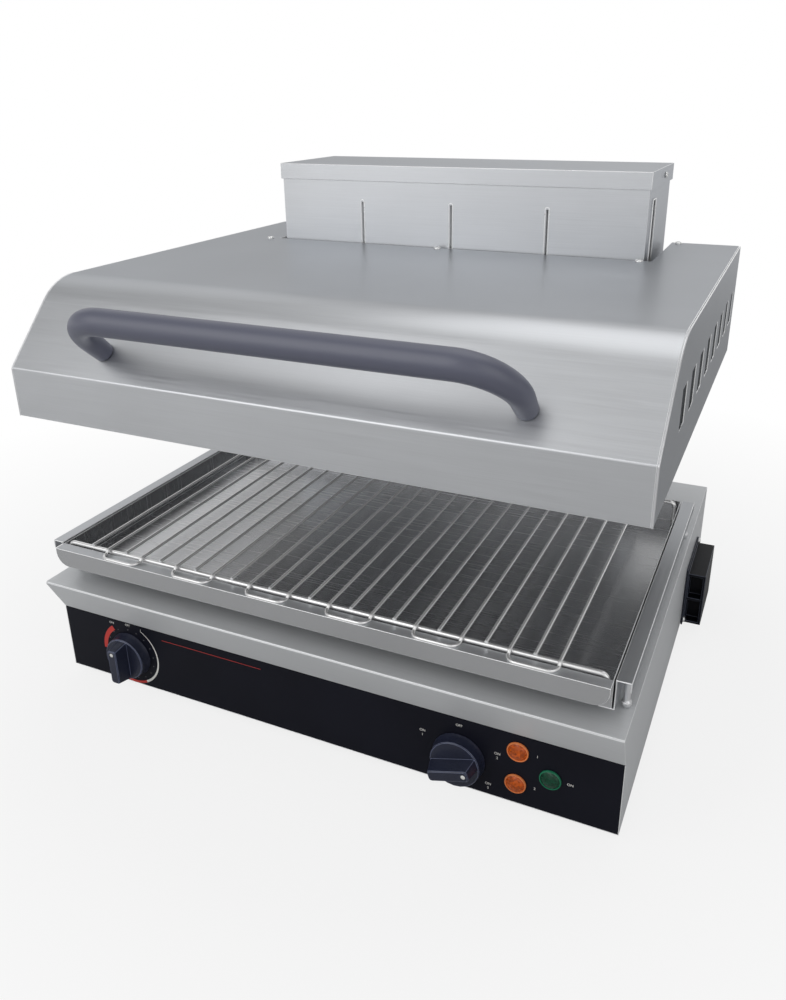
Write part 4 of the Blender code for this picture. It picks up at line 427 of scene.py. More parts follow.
def look(name):
    """The finish of that name, made when it is first asked for."""
    found = bpy.data.materials.get(name)
    if found:
        return found
    chosen = bpy.context.scene.grill_colours
    steel, bright = tuple(chosen.steel), tuple(chosen.bright)
    finishes = {
        "brushed stainless along x": (brushed_steel, "x", steel),
        "brushed stainless along y": (brushed_steel, "y", steel),
        "cold-rolled tray steel": (tray_steel, bright),
        "bright inner sheet": (brushed_steel, "x", bright, 0.25),
        # The base's sheet has a finer grit, so it mirrors less and looks paler and softer
        "satin stainless along x": (brushed_steel, "x", linear("#d6d8da"), 0.42, 0.3),
        "satin stainless along y": (brushed_steel, "y", linear("#dddfe1"), 0.38, 0.4),
        # Flanges blasted with beads are matt and pale, and the tray's rim keeps its satin grain
        "bead-blasted stainless": (brushed_steel, "z", linear("#f4f5f6"), 0.5, 0.2),
        "satin tray rim": (brushed_steel, "x", steel, 0.42, 0.7),
        # Edges and seams are painted paler than the sheets: a painted highlight along them, on top of
        # their buffing
        "buffed edge": (polished_seam, linear("#f6f7f8"), 0.45),
        "polished seam": (polished_seam, linear("#dfe0e2"), 0.8),
        # The louvres' flaps are painted darker than the hood's steel: painted shade inside the louvres
        "heat-darkened sheet": (brushed_steel, "z", linear("#5c5e61"), 0.45),
        "chromed wire": (chrome,),
        "zinc-plated steel": (zinc,),
        "moulded black plastic": (moulded_plastic, tuple(chosen.plastic), 0.42, 0.15),
        "blue-black knob plastic": (moulded_plastic, tuple(chosen.navy), 0.3, 0.5),
        # The plastic's edges are painted paler and glossier: a painted highlight along them
        "worn knob edge": (moulded_plastic, linear("#626a86"), 0.26, 0.6),
        "worn grip edge": (moulded_plastic, linear("#333846"), 0.3, 0.4),
        # The lens's collar is the same plastic with no prisms: pale, even and glossy
        "amber rim": (moulded_plastic, linear("#d87c46"), 0.2, 0.4),
        "green rim": (moulded_plastic, linear("#1c6a4c"), 0.2, 0.4),
        "slate glass-filled nylon": (handle_plastic, tuple(chosen.slate)),
        "printed polyester film": (panel_film, tuple(chosen.film)),
        "white ink": (ink, tuple(chosen.white)),
        "grey ink": (ink, linear("#85858a")),
        "red ink": (ink, tuple(chosen.red)),
        "amber polycarbonate": (lens_plastic, tuple(chosen.amber)),
        "green polycarbonate": (lens_plastic, tuple(chosen.green)),
        "black rubber": (rubber,),
        "grey powder coat": (painted_steel,),
        "sintered bronze": (bronze,),
        "ceramic blanket": (blanket,),
        "oxidised heater sheath": (heater_sheath,),
    }
    maker, *values = finishes[name]
    return maker(name, *values)


def add_object(name, data):
    obj = bpy.data.objects.new(name, data)
    bpy.context.scene.collection.objects.link(obj)
    return obj


def from_bmesh(bm, name):
    mesh = bpy.data.meshes.new(name)
    bm.to_mesh(mesh)
    bm.free()
    return add_object(name, mesh)


def shade(obj, angle=30.0):
    """Smooth shading with the edges past the angle kept sharp."""
    obj.data.polygons.foreach_set("use_smooth", [True] * len(obj.data.polygons))
    obj.data.set_sharp_from_angle(angle=math.radians(angle))
    return obj


def plain_mesh(obj):
    """The mesh that an object's modifiers or letters make."""
    graph = bpy.context.evaluated_depsgraph_get()
    return bpy.data.meshes.new_from_object(obj.evaluated_get(graph))


def settle(obj):
    """Applies an object's modifiers, so that a plain mesh is left."""
    mesh = plain_mesh(obj)
    obj.modifiers.clear()
    obj.data = mesh
    return obj


def paint(obj, finish, body):
    """Gives a piece its finish and the body that it rides on."""
    obj.data.materials.clear()
    obj.data.materials.append(look(finish))
    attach(obj, body)
    return obj


def body_of(node):
    return frame["nodes"][node]["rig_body"]


def round_edges(obj, width, segments, angle, edge_material=0):
    edges = obj.modifiers.new("rounded edges", "BEVEL")
    edges.material = edge_material
    edges.width = width
    edges.segments = segments
    edges.limit_method = "ANGLE"
    edges.angle_limit = math.radians(angle)
    edges.use_clamp_overlap = True
    normals = obj.modifiers.new("flat faces", "WEIGHTED_NORMAL")
    normals.keep_sharp = True
    return settle(obj)


def merged_copy(node, name):
    """A CAD node's mesh with its corners joined and its flat faces whole."""
    bm = bmesh.new()
    bm.from_mesh(frame["nodes"][node].data)
    bmesh.ops.remove_doubles(bm, verts=bm.verts, dist=MERGE)
    bmesh.ops.dissolve_limit(bm, angle_limit=FLAT, verts=bm.verts, edges=bm.edges)
    obj = from_bmesh(bm, name)
    if "custom_normal" in obj.data.attributes:
        obj.data.attributes.remove(obj.data.attributes["custom_normal"])
    return shade(obj)


def dressed(node, finish, width, segments=2, edge=None, sides=None):
    """A copy of a CAD node with light-catching edges, which stands for the node. Faces that look
    along X can have a finish of their own, because a sheet folded to the side is ground along
    another axis there."""
    obj = merged_copy(node, f"{node}_skin")
    obj.data.materials.clear()
    for name in dict.fromkeys((finish, edge or finish, sides or finish)):
        obj.data.materials.append(look(name))
    slots = {material.name: i for i, material in enumerate(obj.data.materials)}
    for face in obj.data.polygons:
        face.material_index = slots[sides if sides and abs(face.normal.x) > SIDEWAYS else finish]
    round_edges(obj, width, segments, FOLD, slots[edge or finish])
    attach(obj, body_of(node))
    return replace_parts(obj, node)


def dressed_steel(node, finish, width=None, sides=None):
    """A sheet part whose folds and cut edges are buffed and painted brighter than its faces: a painted
    highlight along them.
    """
    return dressed(node, finish, width or sizes().sheet_edge, edge="buffed edge", sides=sides)


def refinish(node, finish):
    """Keeps a CAD node as it is and gives it its finish."""
    obj = frame["nodes"][node]
    obj.data.materials.clear()
    obj.data.materials.append(look(finish))


def arc(centre, radius, start, end, steps):
    """Points (a, b) on an arc; angles in degrees."""
    points = []
    for i in range(steps + 1):
        angle = math.radians(start + (end - start) * i / steps)
        points.append((centre[0] + radius * math.cos(angle), centre[1] + radius * math.sin(angle)))
    return points


def on_dial(centre, radius, degrees):
    """A point (x, z) of a dial; degrees run clockwise from upright."""
    angle = math.radians(degrees)
    return centre[0] + radius * math.sin(angle), centre[1] + radius * math.cos(angle)


def block(bm, centre, size, turn=0):
    """A box; its turn about Z is in degrees."""
    place = Matrix.Translation(centre) @ Matrix.Rotation(math.radians(turn), 4, "Z")
    bmesh.ops.create_cube(bm, size=1, matrix=place @ Matrix.Diagonal((*size, 1)))


def prism(bm, first, second):
    """A solid between two outlines that have the same number of points."""
    ends = [[bm.verts.new(point) for point in outline] for outline in (first, second)]
    bm.faces.new(ends[0])
    bm.faces.new(ends[1][::-1])
    for i in range(len(first)):
        j = (i + 1) % len(first)
        bm.faces.new((ends[0][j], ends[0][i], ends[1][i], ends[1][j]))
    bmesh.ops.recalc_face_normals(bm, faces=bm.faces)


def bridge(bm, rings, sides):
    """The wall of faces through a row of rings; a ring may be one point, at a pole."""
    for first, second in zip(rings, rings[1:]):
        for k in range(sides):
            n = (k + 1) % sides
            corners = [first[k % len(first)], first[n % len(first)]]
            corners += [second[n % len(second)], second[k % len(second)]]
            bm.faces.new(list(dict.fromkeys(corners)))


def sweep(bm, points, radii, sides):
    """A round tube along points, with its ring carried along so that it doesn't twist."""
    points = [Vector(p) for p in points]
    headings = []
    for i in range(len(points)):
        ahead = points[min(i + 1, len(points) - 1)] - points[max(i - 1, 0)]
        headings.append(ahead.normalized())
    across = headings[0].orthogonal().normalized()
    rings = []
    for point, heading, radius in zip(points, headings, radii):
        across = (across - heading * across.dot(heading)).normalized()
        other = heading.cross(across)
        ring = []
        for k in range(sides):
            angle = math.tau * k / sides
            outward = across * math.cos(angle) + other * math.sin(angle)
            ring.append(bm.verts.new(point + outward * radius))
        rings.append(ring)
    bridge(bm, rings, sides)
    bm.faces.new(rings[0][::-1])
    bm.faces.new(rings[-1])


def add_ring(bm, place, radius, height, sides, turn=0.0):
    """Points round local Z, turned by a share of one side; on the axis they are one point."""
    ring = []
    for k in range(sides if radius else 1):
        angle = math.tau * (k + turn) / sides
        spot = Vector((radius * math.cos(angle), radius * math.sin(angle), height))
        ring.append(bm.verts.new(place @ spot))
    return ring


def turned(name, profile, place, sides, angle):
    """Turns (radius, height) points round local Z, from the pole or rim to the last point."""
    bm = bmesh.new()
    rings = [add_ring(bm, place, radius, height, sides) for radius, height in profile]
    bridge(bm, rings, sides)
    for ring in (rings[0], rings[-1]):
        if len(ring) > 1:
            bm.faces.new(ring)
    bmesh.ops.recalc_face_normals(bm, faces=bm.faces)
    return shade(from_bmesh(bm, name), angle)


def pointing(place, direction):
    turn = Vector((0, 0, 1)).rotation_difference(Vector(direction)).to_matrix().to_4x4()
    return Matrix.Translation(place) @ turn


def blank_tree(owner):
    """The empty node tree of a world or a material."""
    owner.use_nodes = True
    owner.node_tree.nodes.clear()
    return owner.node_tree


def new_tree(name, inputs):
    tree = bpy.data.node_groups.new(name, "GeometryNodeTree")
    tree.interface.new_socket("Geometry", in_out="INPUT", socket_type="NodeSocketGeometry")
    for label, kind in inputs.items():
        tree.interface.new_socket(label, in_out="INPUT", socket_type=f"NodeSocket{kind}")
    tree.interface.new_socket("Geometry", in_out="OUTPUT", socket_type="NodeSocketGeometry")
    return tree, add_node(tree, "NodeGroupInput").outputs


def finish_tree(tree, points, part, material, **settings):
    """Every tree ends in copies made real, with their material set."""
    values = {"Points": points, "Instance": part, **settings}
    copies = add_node(tree, "GeometryNodeInstanceOnPoints", values).outputs["Instances"]
    real = add_node(tree, "GeometryNodeRealizeInstances", {"Geometry": copies})
    values = {"Geometry": real.outputs["Geometry"], "Material": material}
    painted = add_node(tree, "GeometryNodeSetMaterial", values)
    add_node(tree, "NodeGroupOutput", {"Geometry": painted.outputs["Geometry"]})
    return tree


def wire_row_tree(name):
    """Sweeps a round wire along the path and repeats it in a row."""
    kinds = {"Radius": "Float", "Sides": "Int", "Count": "Int", "Step": "Vector", "Material": "Material"}
    tree, given = new_tree(name, kinds)
    line = add_node(tree, "GeometryNodeMeshToCurve", {"Mesh": given["Geometry"]}).outputs["Curve"]
    values = {"Resolution": given["Sides"], "Radius": given["Radius"]}
    profile = add_node(tree, "GeometryNodeCurvePrimitiveCircle", values).outputs["Curve"]
    values = {"Curve": line, "Profile Curve": profile, "Fill Caps": True}
    wire = add_node(tree, "GeometryNodeCurveToMesh", values).outputs["Mesh"]
    values = {"Count": given["Count"], "Offset": given["Step"]}
    row = add_node(tree, "GeometryNodeMeshLine", values).outputs["Mesh"]
    return finish_tree(tree, row, wire, given["Material"])


def seated_tree(name):
    """Puts a copy of one part on each point, with its axis along the point's direction."""
    tree, given = new_tree(name, {"Part": "Object", "Material": "Material"})
    part = add_node(tree, "GeometryNodeObjectInfo", {"Object": given["Part"]}).outputs["Geometry"]
    values = {"Name": "outward"}
    outward = add_node(tree, "GeometryNodeInputNamedAttribute", values, data_type="FLOAT_VECTOR")
    values = {"Vector": outward.outputs["Attribute"]}
    turn = add_node(tree, "FunctionNodeAlignRotationToVector", values, axis="Z").outputs["Rotation"]
    return finish_tree(tree, given["Geometry"], part, given["Material"], Rotation=turn)


def grow(obj, name, maker, **values):
    """Runs a tree on an object, with its inputs given by name, and keeps the plain mesh."""
    nodes = obj.modifiers.new("nodes", "NODES")
    nodes.node_group = bpy.data.node_groups.get(name) or maker(name)
    for item in nodes.node_group.interface.items_tree:
        if item.in_out == "INPUT" and item.name in values:
            nodes[item.identifier] = values[item.name]
    return settle(obj)


def wires(name, points, radius, finish, count, step, sides=16):
    """A row of like wires along one path, which is a mesh of edges only."""
    mesh = bpy.data.meshes.new(name)
    mesh.from_pydata(points, [(i, i + 1) for i in range(len(points) - 1)], [])
    values = {"Radius": radius, "Sides": sides, "Count": count, "Step": step}
    obj = add_object(name, mesh)
    grow(obj, "Wires in a row", wire_row_tree, Material=look(finish), **values)
    return shade(obj, 40)


def joined(name, objects):
    """Joins plain meshes into one piece of that name."""
    bm = bmesh.new()
    for obj in objects:
        bm.from_mesh(obj.data)
        bpy.data.objects.remove(obj)
    return from_bmesh(bm, name)


def pan_head(name, radius):
    """A pan-head screw with a cross recess, its seat at the origin and its head along +Z."""
    shares = ((0.0, HEAD_SHARE), (0.45, 0.6), (0.8, 0.46), (0.96, 0.28), (1.0, 0.12), (1.0, 0.0))
    profile = [(radius * wide, radius * high) for wide, high in shares]
    head = turned(name, profile, Matrix(), 24, 50)
    bm = bmesh.new()
    for turn in (0, 90):
        block(bm, (0, 0, radius * HEAD_SHARE), (radius, radius * 0.2, radius * 0.5), turn)
    cross = from_bmesh(bm, f"{name}_recess")
    recess = head.modifiers.new("recess", "BOOLEAN")
    recess.operation = "DIFFERENCE"
    recess.solver = "EXACT"
    recess.use_self = True
    recess.object = cross
    settle(head)
    bpy.data.objects.remove(cross)
    return head


def seated(name, part, seats, finish):
    """Copies of a part on (place, outward) seats, as one piece."""
    mesh = bpy.data.meshes.new(name)
    mesh.from_pydata([tuple(place) for place, _ in seats], [], [])
    outward = mesh.attributes.new("outward", "FLOAT_VECTOR", "POINT")
    outward.data.foreach_set("vector", [v for _, direction in seats for v in direction])
    values = {"Part": part, "Material": look(finish)}
    obj = grow(add_object(name, mesh), "Parts on their seats", seated_tree, **values)
    bpy.data.objects.remove(part)
    return shade(obj, 35)


def screws(name, seats, body, replaced=(), radius=None):
    """Pan-head screws on seats of one body."""
    head = pan_head(f"{name}_part", radius or sizes().screw_radius)
    obj = seated(name, head, seats, "zinc-plated steel")
    paint(obj, "zinc-plated steel", body)
    if replaced:
        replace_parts(obj, *replaced)


def seat_of(node, axis, outward, radius=None):
    """Seat of a CAD screw: the middle of its box, at its head's underside."""
    low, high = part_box(node)
    place = (low + high) / 2
    reach = HEAD_SHARE * (radius or sizes().screw_radius)
    place[axis] = high[axis] - reach if outward[axis] > 0 else low[axis] + reach
    return place, outward


class GRILL_OT_stage(bpy.types.Operator):
    """Sets the camera, the lamps, the sky and the pale floor"""

    bl_idname = "grill.stage"
    bl_label = "Stage and camera"

    def execute(self, context):
        scene = context.scene
        scene.view_settings.view_transform = "Standard"
        self.add_camera(scene)
        self.add_sky(scene)
        self.add_lamps()
        self.add_floor()
        return {"FINISHED"}

    def add_camera(self, scene):
        yaw, pitch, roll = CAMERA_TURN
        turn = Matrix.Rotation(yaw, 4, "Z") @ Matrix.Rotation(math.pi / 2 - pitch, 4, "X")
        turn = turn @ Matrix.Rotation(roll, 4, "Z")
        camera = add_object("camera", bpy.data.cameras.new("camera"))
        camera.matrix_world = Matrix.Translation(CAMERA_PLACE) @ turn
        camera.data.sensor_width = CAMERA_SENSOR
        camera.data.lens = CAMERA_LENS
        camera.data.shift_x, camera.data.shift_y = CAMERA_SHIFT
        scene.camera = camera

    def add_sky(self, scene):
        """White where it is seen, a shaded room where it is mirrored, a soft fill for the rest."""
        world = bpy.data.worlds.new("studio")
        tree = blank_tree(world)
        path = add_node(tree, "ShaderNodeLightPath").outputs
        heading = add_node(tree, "ShaderNodeTexCoord").outputs["Generated"]
        sides = add_node(tree, "ShaderNodeSeparateXYZ", {"Vector": heading}).outputs
        aside = add_node(tree, "ShaderNodeMath", {0: sides["X"]}, operation="ABSOLUTE").outputs[0]
        values = {0: heading, 1: CARD_HEADING}
        facing = add_node(tree, "ShaderNodeVectorMath", values, operation="DOT_PRODUCT")
        shades = []
        for value, fade in ((aside, WALLS), (sides["Z"], CEILING), (facing.outputs["Value"], CARD)):
            values = {"Value": value, **fade}
            faded = add_node(tree, "ShaderNodeMapRange", values, interpolation_type="SMOOTHSTEP")
            shades.append(faded.outputs["Result"])
        level, ceiling, card = shades
        seen = path["Is Camera Ray"]
        for operation, other in (("MULTIPLY", ceiling), ("MAXIMUM", card), ("MAXIMUM", seen)):
            values = {0: level, 1: other}
            level = add_node(tree, "ShaderNodeMath", values, operation=operation).outputs[0]
        for other in ("Is Glossy Ray", "Is Transmission Ray"):
            values = {0: seen, 1: path[other]}
            seen = add_node(tree, "ShaderNodeMath", values, operation="MAXIMUM").outputs[0]
        lights = []
        for strength in (FILL_LIGHT, level):
            values = {"Color": linear("#ffffff"), "Strength": strength}
            lights.append(add_node(tree, "ShaderNodeBackground", values).outputs[0])
        mixed = add_node(tree, "ShaderNodeMixShader", {0: seen, 1: lights[0], 2: lights[1]})
        add_node(tree, "ShaderNodeOutputWorld", {"Surface": mixed.outputs[0]})
        scene.world = world

    def add_lamps(self):
        lamps = (
            ("key", (-1.6, -2.7, 2.2), 3.0, 34, True),
            ("fill", (2.4, -1.5, 1.7), 2.2, 12, True),
            ("top", (0.1, 0.8, 2.9), 2.4, 15, True),
            ("low", (-1.8, -1.4, 0.6), 1.4, 6, False),
        )
        for name, place, side, power, mirrored in lamps:
            data = bpy.data.lights.new(name, "AREA")
            data.shape = "SQUARE"
            data.size = side
            data.energy = power
            lamp = add_object(name, data)
            aim = Vector(LAMP_AIM) - Vector(place)
            lamp.matrix_world = pointing(place, aim) @ Matrix.Rotation(math.pi, 4, "X")
            lamp.visible_camera = False
            lamp.visible_glossy = mirrored

    def add_floor(self):
        """A white floor with a pale shadow near the grill, mirrored only where it is far off."""
        material = bpy.data.materials.new("pale floor")
        tree = blank_tree(material)
        spot = add_node(tree, "ShaderNodeTexCoord").outputs["Object"]
        away = add_node(tree, "ShaderNodeVectorMath", {0: spot}, operation="LENGTH")
        path = add_node(tree, "ShaderNodeLightPath").outputs
        fades = []
        for fade in (FLOOR_SEEN, FLOOR_MIRRORED):
            values = {"Value": away.outputs["Value"], **fade}
            fades.append(add_node(tree, "ShaderNodeMapRange", values).outputs["Result"])
        near, far = fades
        mirrored = path["Is Glossy Ray"]
        for operation, other in (("MAXIMUM", path["Is Transmission Ray"]), ("MULTIPLY", far)):
            values = {0: mirrored, 1: other}
            mirrored = add_node(tree, "ShaderNodeMath", values, operation=operation).outputs[0]
        values = {0: path["Is Camera Ray"], 1: near, 2: mirrored}
        share = add_node(tree, "ShaderNodeMath", values, operation="MULTIPLY_ADD").outputs[0]
        lit = add_node(tree, "ShaderNodeBsdfDiffuse", {"Color": linear("#cfcfcf")})
        white = add_node(tree, "ShaderNodeEmission", {"Strength": 1.0})
        values = {0: share, 1: lit.outputs[0], 2: white.outputs[0]}
        mixed = add_node(tree, "ShaderNodeMixShader", values)
        add_node(tree, "ShaderNodeOutputMaterial", {"Surface": mixed.outputs[0]})
        bm = bmesh.new()
        bmesh.ops.create_grid(bm, x_segments=2, y_segments=2, size=FLOOR_SIZE)
        floor = from_bmesh(bm, "floor")
        floor.location.z = -FLOOR_DROP
        floor.data.materials.append(material)


class GRILL_OT_hood(bpy.types.Operator):
    """Dresses the hood's outer sheets and closes its ground corner seams"""

    bl_idname = "grill.hood"
    bl_label = "Hood"

    def execute(self, context):
        sheets = {"shell": "x", "side_left": "y", "side_right": "y", "back_frame": "x"}
        for sheet, along in sheets.items():
            dressed_steel(f"hood_{sheet}", f"brushed stainless along {along}")
        self.add_seams()
        self.add_louvre_flaps()
        names = ("front_left", "front_middle", "front_right", "back_left", "back_right")
        nodes = [f"hood_screw_{name}" for name in names]
        wide = sizes().hood_screw_radius
        seats = [seat_of(node, 2, (0, 0, 1), wide) for node in nodes]
        screws("hood_top_screws", seats, "hood", nodes, wide)
        return {"FINISHED"}

    def add_seams(self):
        """A ground bead along each side's outer edge."""
        radius = sizes().seam_radius
        outline = self.side_line(radius - SEAM_PROUD)
        for name, x, outward in HOOD_SIDES:
            inner = x - outward * (radius - SEAM_PROUD)
            bm = bmesh.new()
            sweep(bm, [(inner, y, z) for y, z in outline], [radius] * len(outline), 12)
            obj = shade(from_bmesh(bm, f"hood_seam_{name}"), 60)
            # The bead's paler steel is partly a painted highlight along the hood's corner
            paint(obj, "polished seam", "hood")

    def side_line(self, inset):
        """Front lower corner, band, slope and top of the hood, read from the CAD side's own rim."""
        reach = HOOD_SIDES[1][1]
        side = frame["nodes"]["hood_side_right"].data.vertices
        rim = {(round(v.co.y, 5), round(v.co.z, 5)) for v in side if abs(v.co.x - reach) < MERGE}
        middle = Vector((0.1, HOOD[0].z + 0.05))
        outer = [Vector(p) for p in rim if self.on_outline(Vector(p))]
        line = sorted(outer, key=lambda p: math.atan2(p.y - middle.y, middle.x - p.x))
        made = []
        for i, point in enumerate(line):
            heading = (line[min(i + 1, len(line) - 1)] - line[max(i - 1, 0)]).normalized()
            made.append(tuple(point + Vector((heading.y, -heading.x)) * inset))
        return made

    def on_outline(self, point):
        """True for a rim point on the front, slope or top, and not for a louvre or the back."""
        low, high = HOOD
        near, below = 0.0005, 0.008
        if point.x < low.y + near:
            return True
        line = (point.x - low.y) * math.tan(SLOPE_LEAN) + low.z + BAND_HEIGHT
        return point.y > min(line, high.z) - below and point.x < high.y - near

    def add_louvre_flaps(self):
        """The flap pressed inwards from the rear edge of each louvre, and its closed ends."""
        half, tall, thick, sill = 0.0124, 0.0344, 0.0008, 0.041
        first, last, count = -0.15347, 0.20843, 8
        middle = HOOD[0].z + sill + tall / 2
        bent = [(0.0112, -0.0008), (0.0064, -0.0042), (-0.001, -0.0088), (-0.008, -0.0124)]
        flap = [(half, -0.0001), *bent]
        flap += [(y, z - thick) for y, z in flap[::-1]]
        cheek = [(-half, -0.0013), (half, -0.0002), *bent]
        plates = [(flap, -tall / 2, tall / 2)]
        plates += [(cheek, end, end + thick) for end in (-tall / 2, tall / 2 - thick)]
        for name, face, outward in HOOD_SIDES:
            bm = bmesh.new()
            for outline, low, high in plates:
                prism(bm, *[[(x, y, z) for y, z in outline] for x in (low, high)])
            part = from_bmesh(bm, f"flap_part_{name}")
            seats = []
            for i in range(count):
                y = first + (last - first) * i / (count - 1)
                seats.append(((face, y, middle), (outward, 0, 0)))
            # The flaps' dark sheet is painted shade, standing for the shade inside the louvres
            obj = seated(f"hood_louvre_flaps_{name}", part, seats, "heat-darkened sheet")
            paint(obj, "heat-darkened sheet", "hood")


class GRILL_OT_handle(bpy.types.Operator):
    """Draws the hood's round handle, with legs that narrow towards the slope"""

    bl_idname = "grill.handle"
    bl_label = "Handle"

    def execute(self, context):
        half, standoff, bend = 0.2015, 0.062, 0.043
        gap, up_slope, end_edge = 0.0003, 0.0285, 0.0008
        upward = Vector((0, math.cos(SLOPE_LEAN), math.sin(SLOPE_LEAN)))
        normal = Vector((0, -math.sin(SLOPE_LEAN), math.cos(SLOPE_LEAN)))
        foot = Vector((0, HOOD[0].y, HOOD[0].z + BAND_HEIGHT)) + upward * up_slope
        right = [(half, gap + (standoff - bend) * i / 5) for i in range(5)]
        right += arc((half - bend, standoff - bend), bend, 0, 90, 28)
        outline = right + [(-x, out) for x, out in right[::-1]]
        thick, thin = sizes().handle_radius, sizes().handle_foot
        points = [foot + Vector((x, 0, 0)) + normal * out for x, out in outline]
        radii = [thin + (thick - thin) * out / standoff for _, out in outline]
        bm = bmesh.new()
        sweep(bm, points, radii, 48)
        obj = shade(from_bmesh(bm, "handle_bar"), 50)
        round_edges(obj, end_edge, 2, 60)
        paint(obj, "slate glass-filled nylon", "hood")
        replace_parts(obj, "handle")
        return {"FINISHED"}


class GRILL_OT_heating(bpy.types.Operator):
    """Finishes the heating pan, the elements, their rack and the blanket"""

    bl_idname = "grill.heating"
    bl_label = "Heating parts"

    def execute(self, context):
        for node in ("heating_pan", "element_rack"):
            dressed(node, "bright inner sheet", PAN_EDGE)
        refinish("insulation_slab", "ceramic blanket")
        for node in ("element_left", "element_right"):
            refinish(node, "oxidised heater sheath")
        return {"FINISHED"}


class GRILL_OT_mast(bpy.types.Operator):
    """Dresses the mast's cover, back and cap, and the edges of its slots"""

    bl_idname = "grill.mast"
    bl_label = "Mast"

    def execute(self, context):
        for node, width in MAST_EDGES.items():
            dressed_steel(node, "brushed stainless along x", width, "brushed stainless along y")
        self.add_slot_flanges()
        self.add_slot_rims()
        seats = [seat_of("cap_screw_left", 0, (-1, 0, 0)), seat_of("cap_screw_right", 0, (1, 0, 0))]
        screws("cap_screws", seats, "base", ("cap_screw_left", "cap_screw_right"))
        return {"FINISHED"}

    def add_slot_flanges(self):
        """The sheet folded inwards along both edges of the three slots for the hood's arms."""
        deep, thick, reach, sunk, edge = 0.0125, 0.0006, 0.0012, 0.0002, 0.0001
        low, high = SLOT_FOOT + 0.0005, 0.4774
        bm = bmesh.new()
        for slot in ARM_SLOTS:
            for side in (-1, 1):
                x = slot + side * (reach + thick / 2)
                centre = (x, MAST[0].y + sunk + deep / 2, (low + high) / 2)
                block(bm, centre, (thick, deep, high - low))
        obj = round_edges(shade(from_bmesh(bm, "mast_slot_flanges")), edge, 2, 30)
        paint(obj, "bead-blasted stainless", "base")

    def add_slot_rims(self):
        """The rounded edge that the press leaves round each slot, higher round the side slots."""
        front, side = MAST[0].y, MAST[1].x
        radius, proud = 0.0009, 0.0004
        half, high = 0.0021, 0.4776
        profile = [(half, SLOT_FOOT)] + arc((0, high), half, 0, 180, 12) + [(-half, SLOT_FOOT)]
        paths = []
        for x in ARM_SLOTS:
            paths.append([(x + a, front + radius - proud, z) for a, z in profile])
        half, corner, high, middle, outward = 0.0085, 0.0015, 0.4892, 0.029, 1.002
        profile = [(half, SLOT_FOOT)] + arc((half - corner, high - corner), corner, 0, 90, 4)
        profile += arc((corner - half, high - corner), corner, 90, 180, 4) + [(-half, SLOT_FOOT)]
        for x in (-side, side):
            paths.append([(x * outward, front + middle + a, z) for a, z in profile])
        bm = bmesh.new()
        for points in paths:
            sweep(bm, points, [radius] * len(points), 10)
        obj = shade(from_bmesh(bm, "mast_slot_rims"), 60)
        # The rims' paler steel is a painted highlight round the slots
        paint(obj, "buffed edge", "base")


class GRILL_OT_lift(bpy.types.Operator):
    """Finishes the lift's rods, struts, crossheads and carriage inside the mast"""

    bl_idname = "grill.lift"
    bl_label = "Lift"

    def execute(self, context):
        for node in ("lower_crosshead", "upper_crosshead"):
            refinish(node, "grey powder coat")
        for side in ("left", "right"):
            refinish(f"strut_body_{side}", "grey powder coat")
            refinish(f"guide_rod_{side}", "chromed wire")
            refinish(f"strut_rod_{side}", "chromed wire")
            refinish(f"bushing_{side}", "sintered bronze")
        dressed("lift_carriage", "grey powder coat", SMALL_EDGE)
        return {"FINISHED"}


class GRILL_OT_base(bpy.types.Operator):
    """Dresses the base casing, its floor, the feet and the supply entry"""

    bl_idname = "grill.base"
    bl_label = "Base"

    def execute(self, context):
        dressed_steel("base_housing", "satin stainless along x", sides="satin stainless along y")
        refinish("base_floor", "brushed stainless along x")
        for corner in CORNERS:
            dressed(f"foot_{corner}", "black rubber", FOOT_EDGE)
        for node in ("cable_gland", "gland_nut"):
            dressed(node, "moulded black plastic", SMALL_EDGE)
        for node in ("timer_case", "selector_case", "terminal_block"):
            refinish(node, "moulded black plastic")
        return {"FINISHED"}


class GRILL_OT_grips(bpy.types.Operator):
    """Dresses the two side grips and their screws"""

    bl_idname = "grill.side_grips"
    bl_label = "Side grips"

    def execute(self, context):
        flange, from_end, from_top, from_foot = 0.0024, 0.0035, 0.004, 0.006
        seats = []
        for side, name in ((-1, "side_grip_left"), (1, "side_grip_right")):
            # The grip's edges get a paler plastic: a painted highlight along them
            dressed(name, "moulded black plastic", sizes().moulded_edge, edge="worn grip edge")
            low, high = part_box(name)
            x = (high.x if side < 0 else low.x) + side * flange
            seats.append(((x, high.y - from_end, high.z - from_top), (side, 0, 0)))
            seats.append(((x, low.y + from_end, low.z + from_foot), (side, 0, 0)))
        screws("grip_screws", seats, "base")
        return {"FINISHED"}


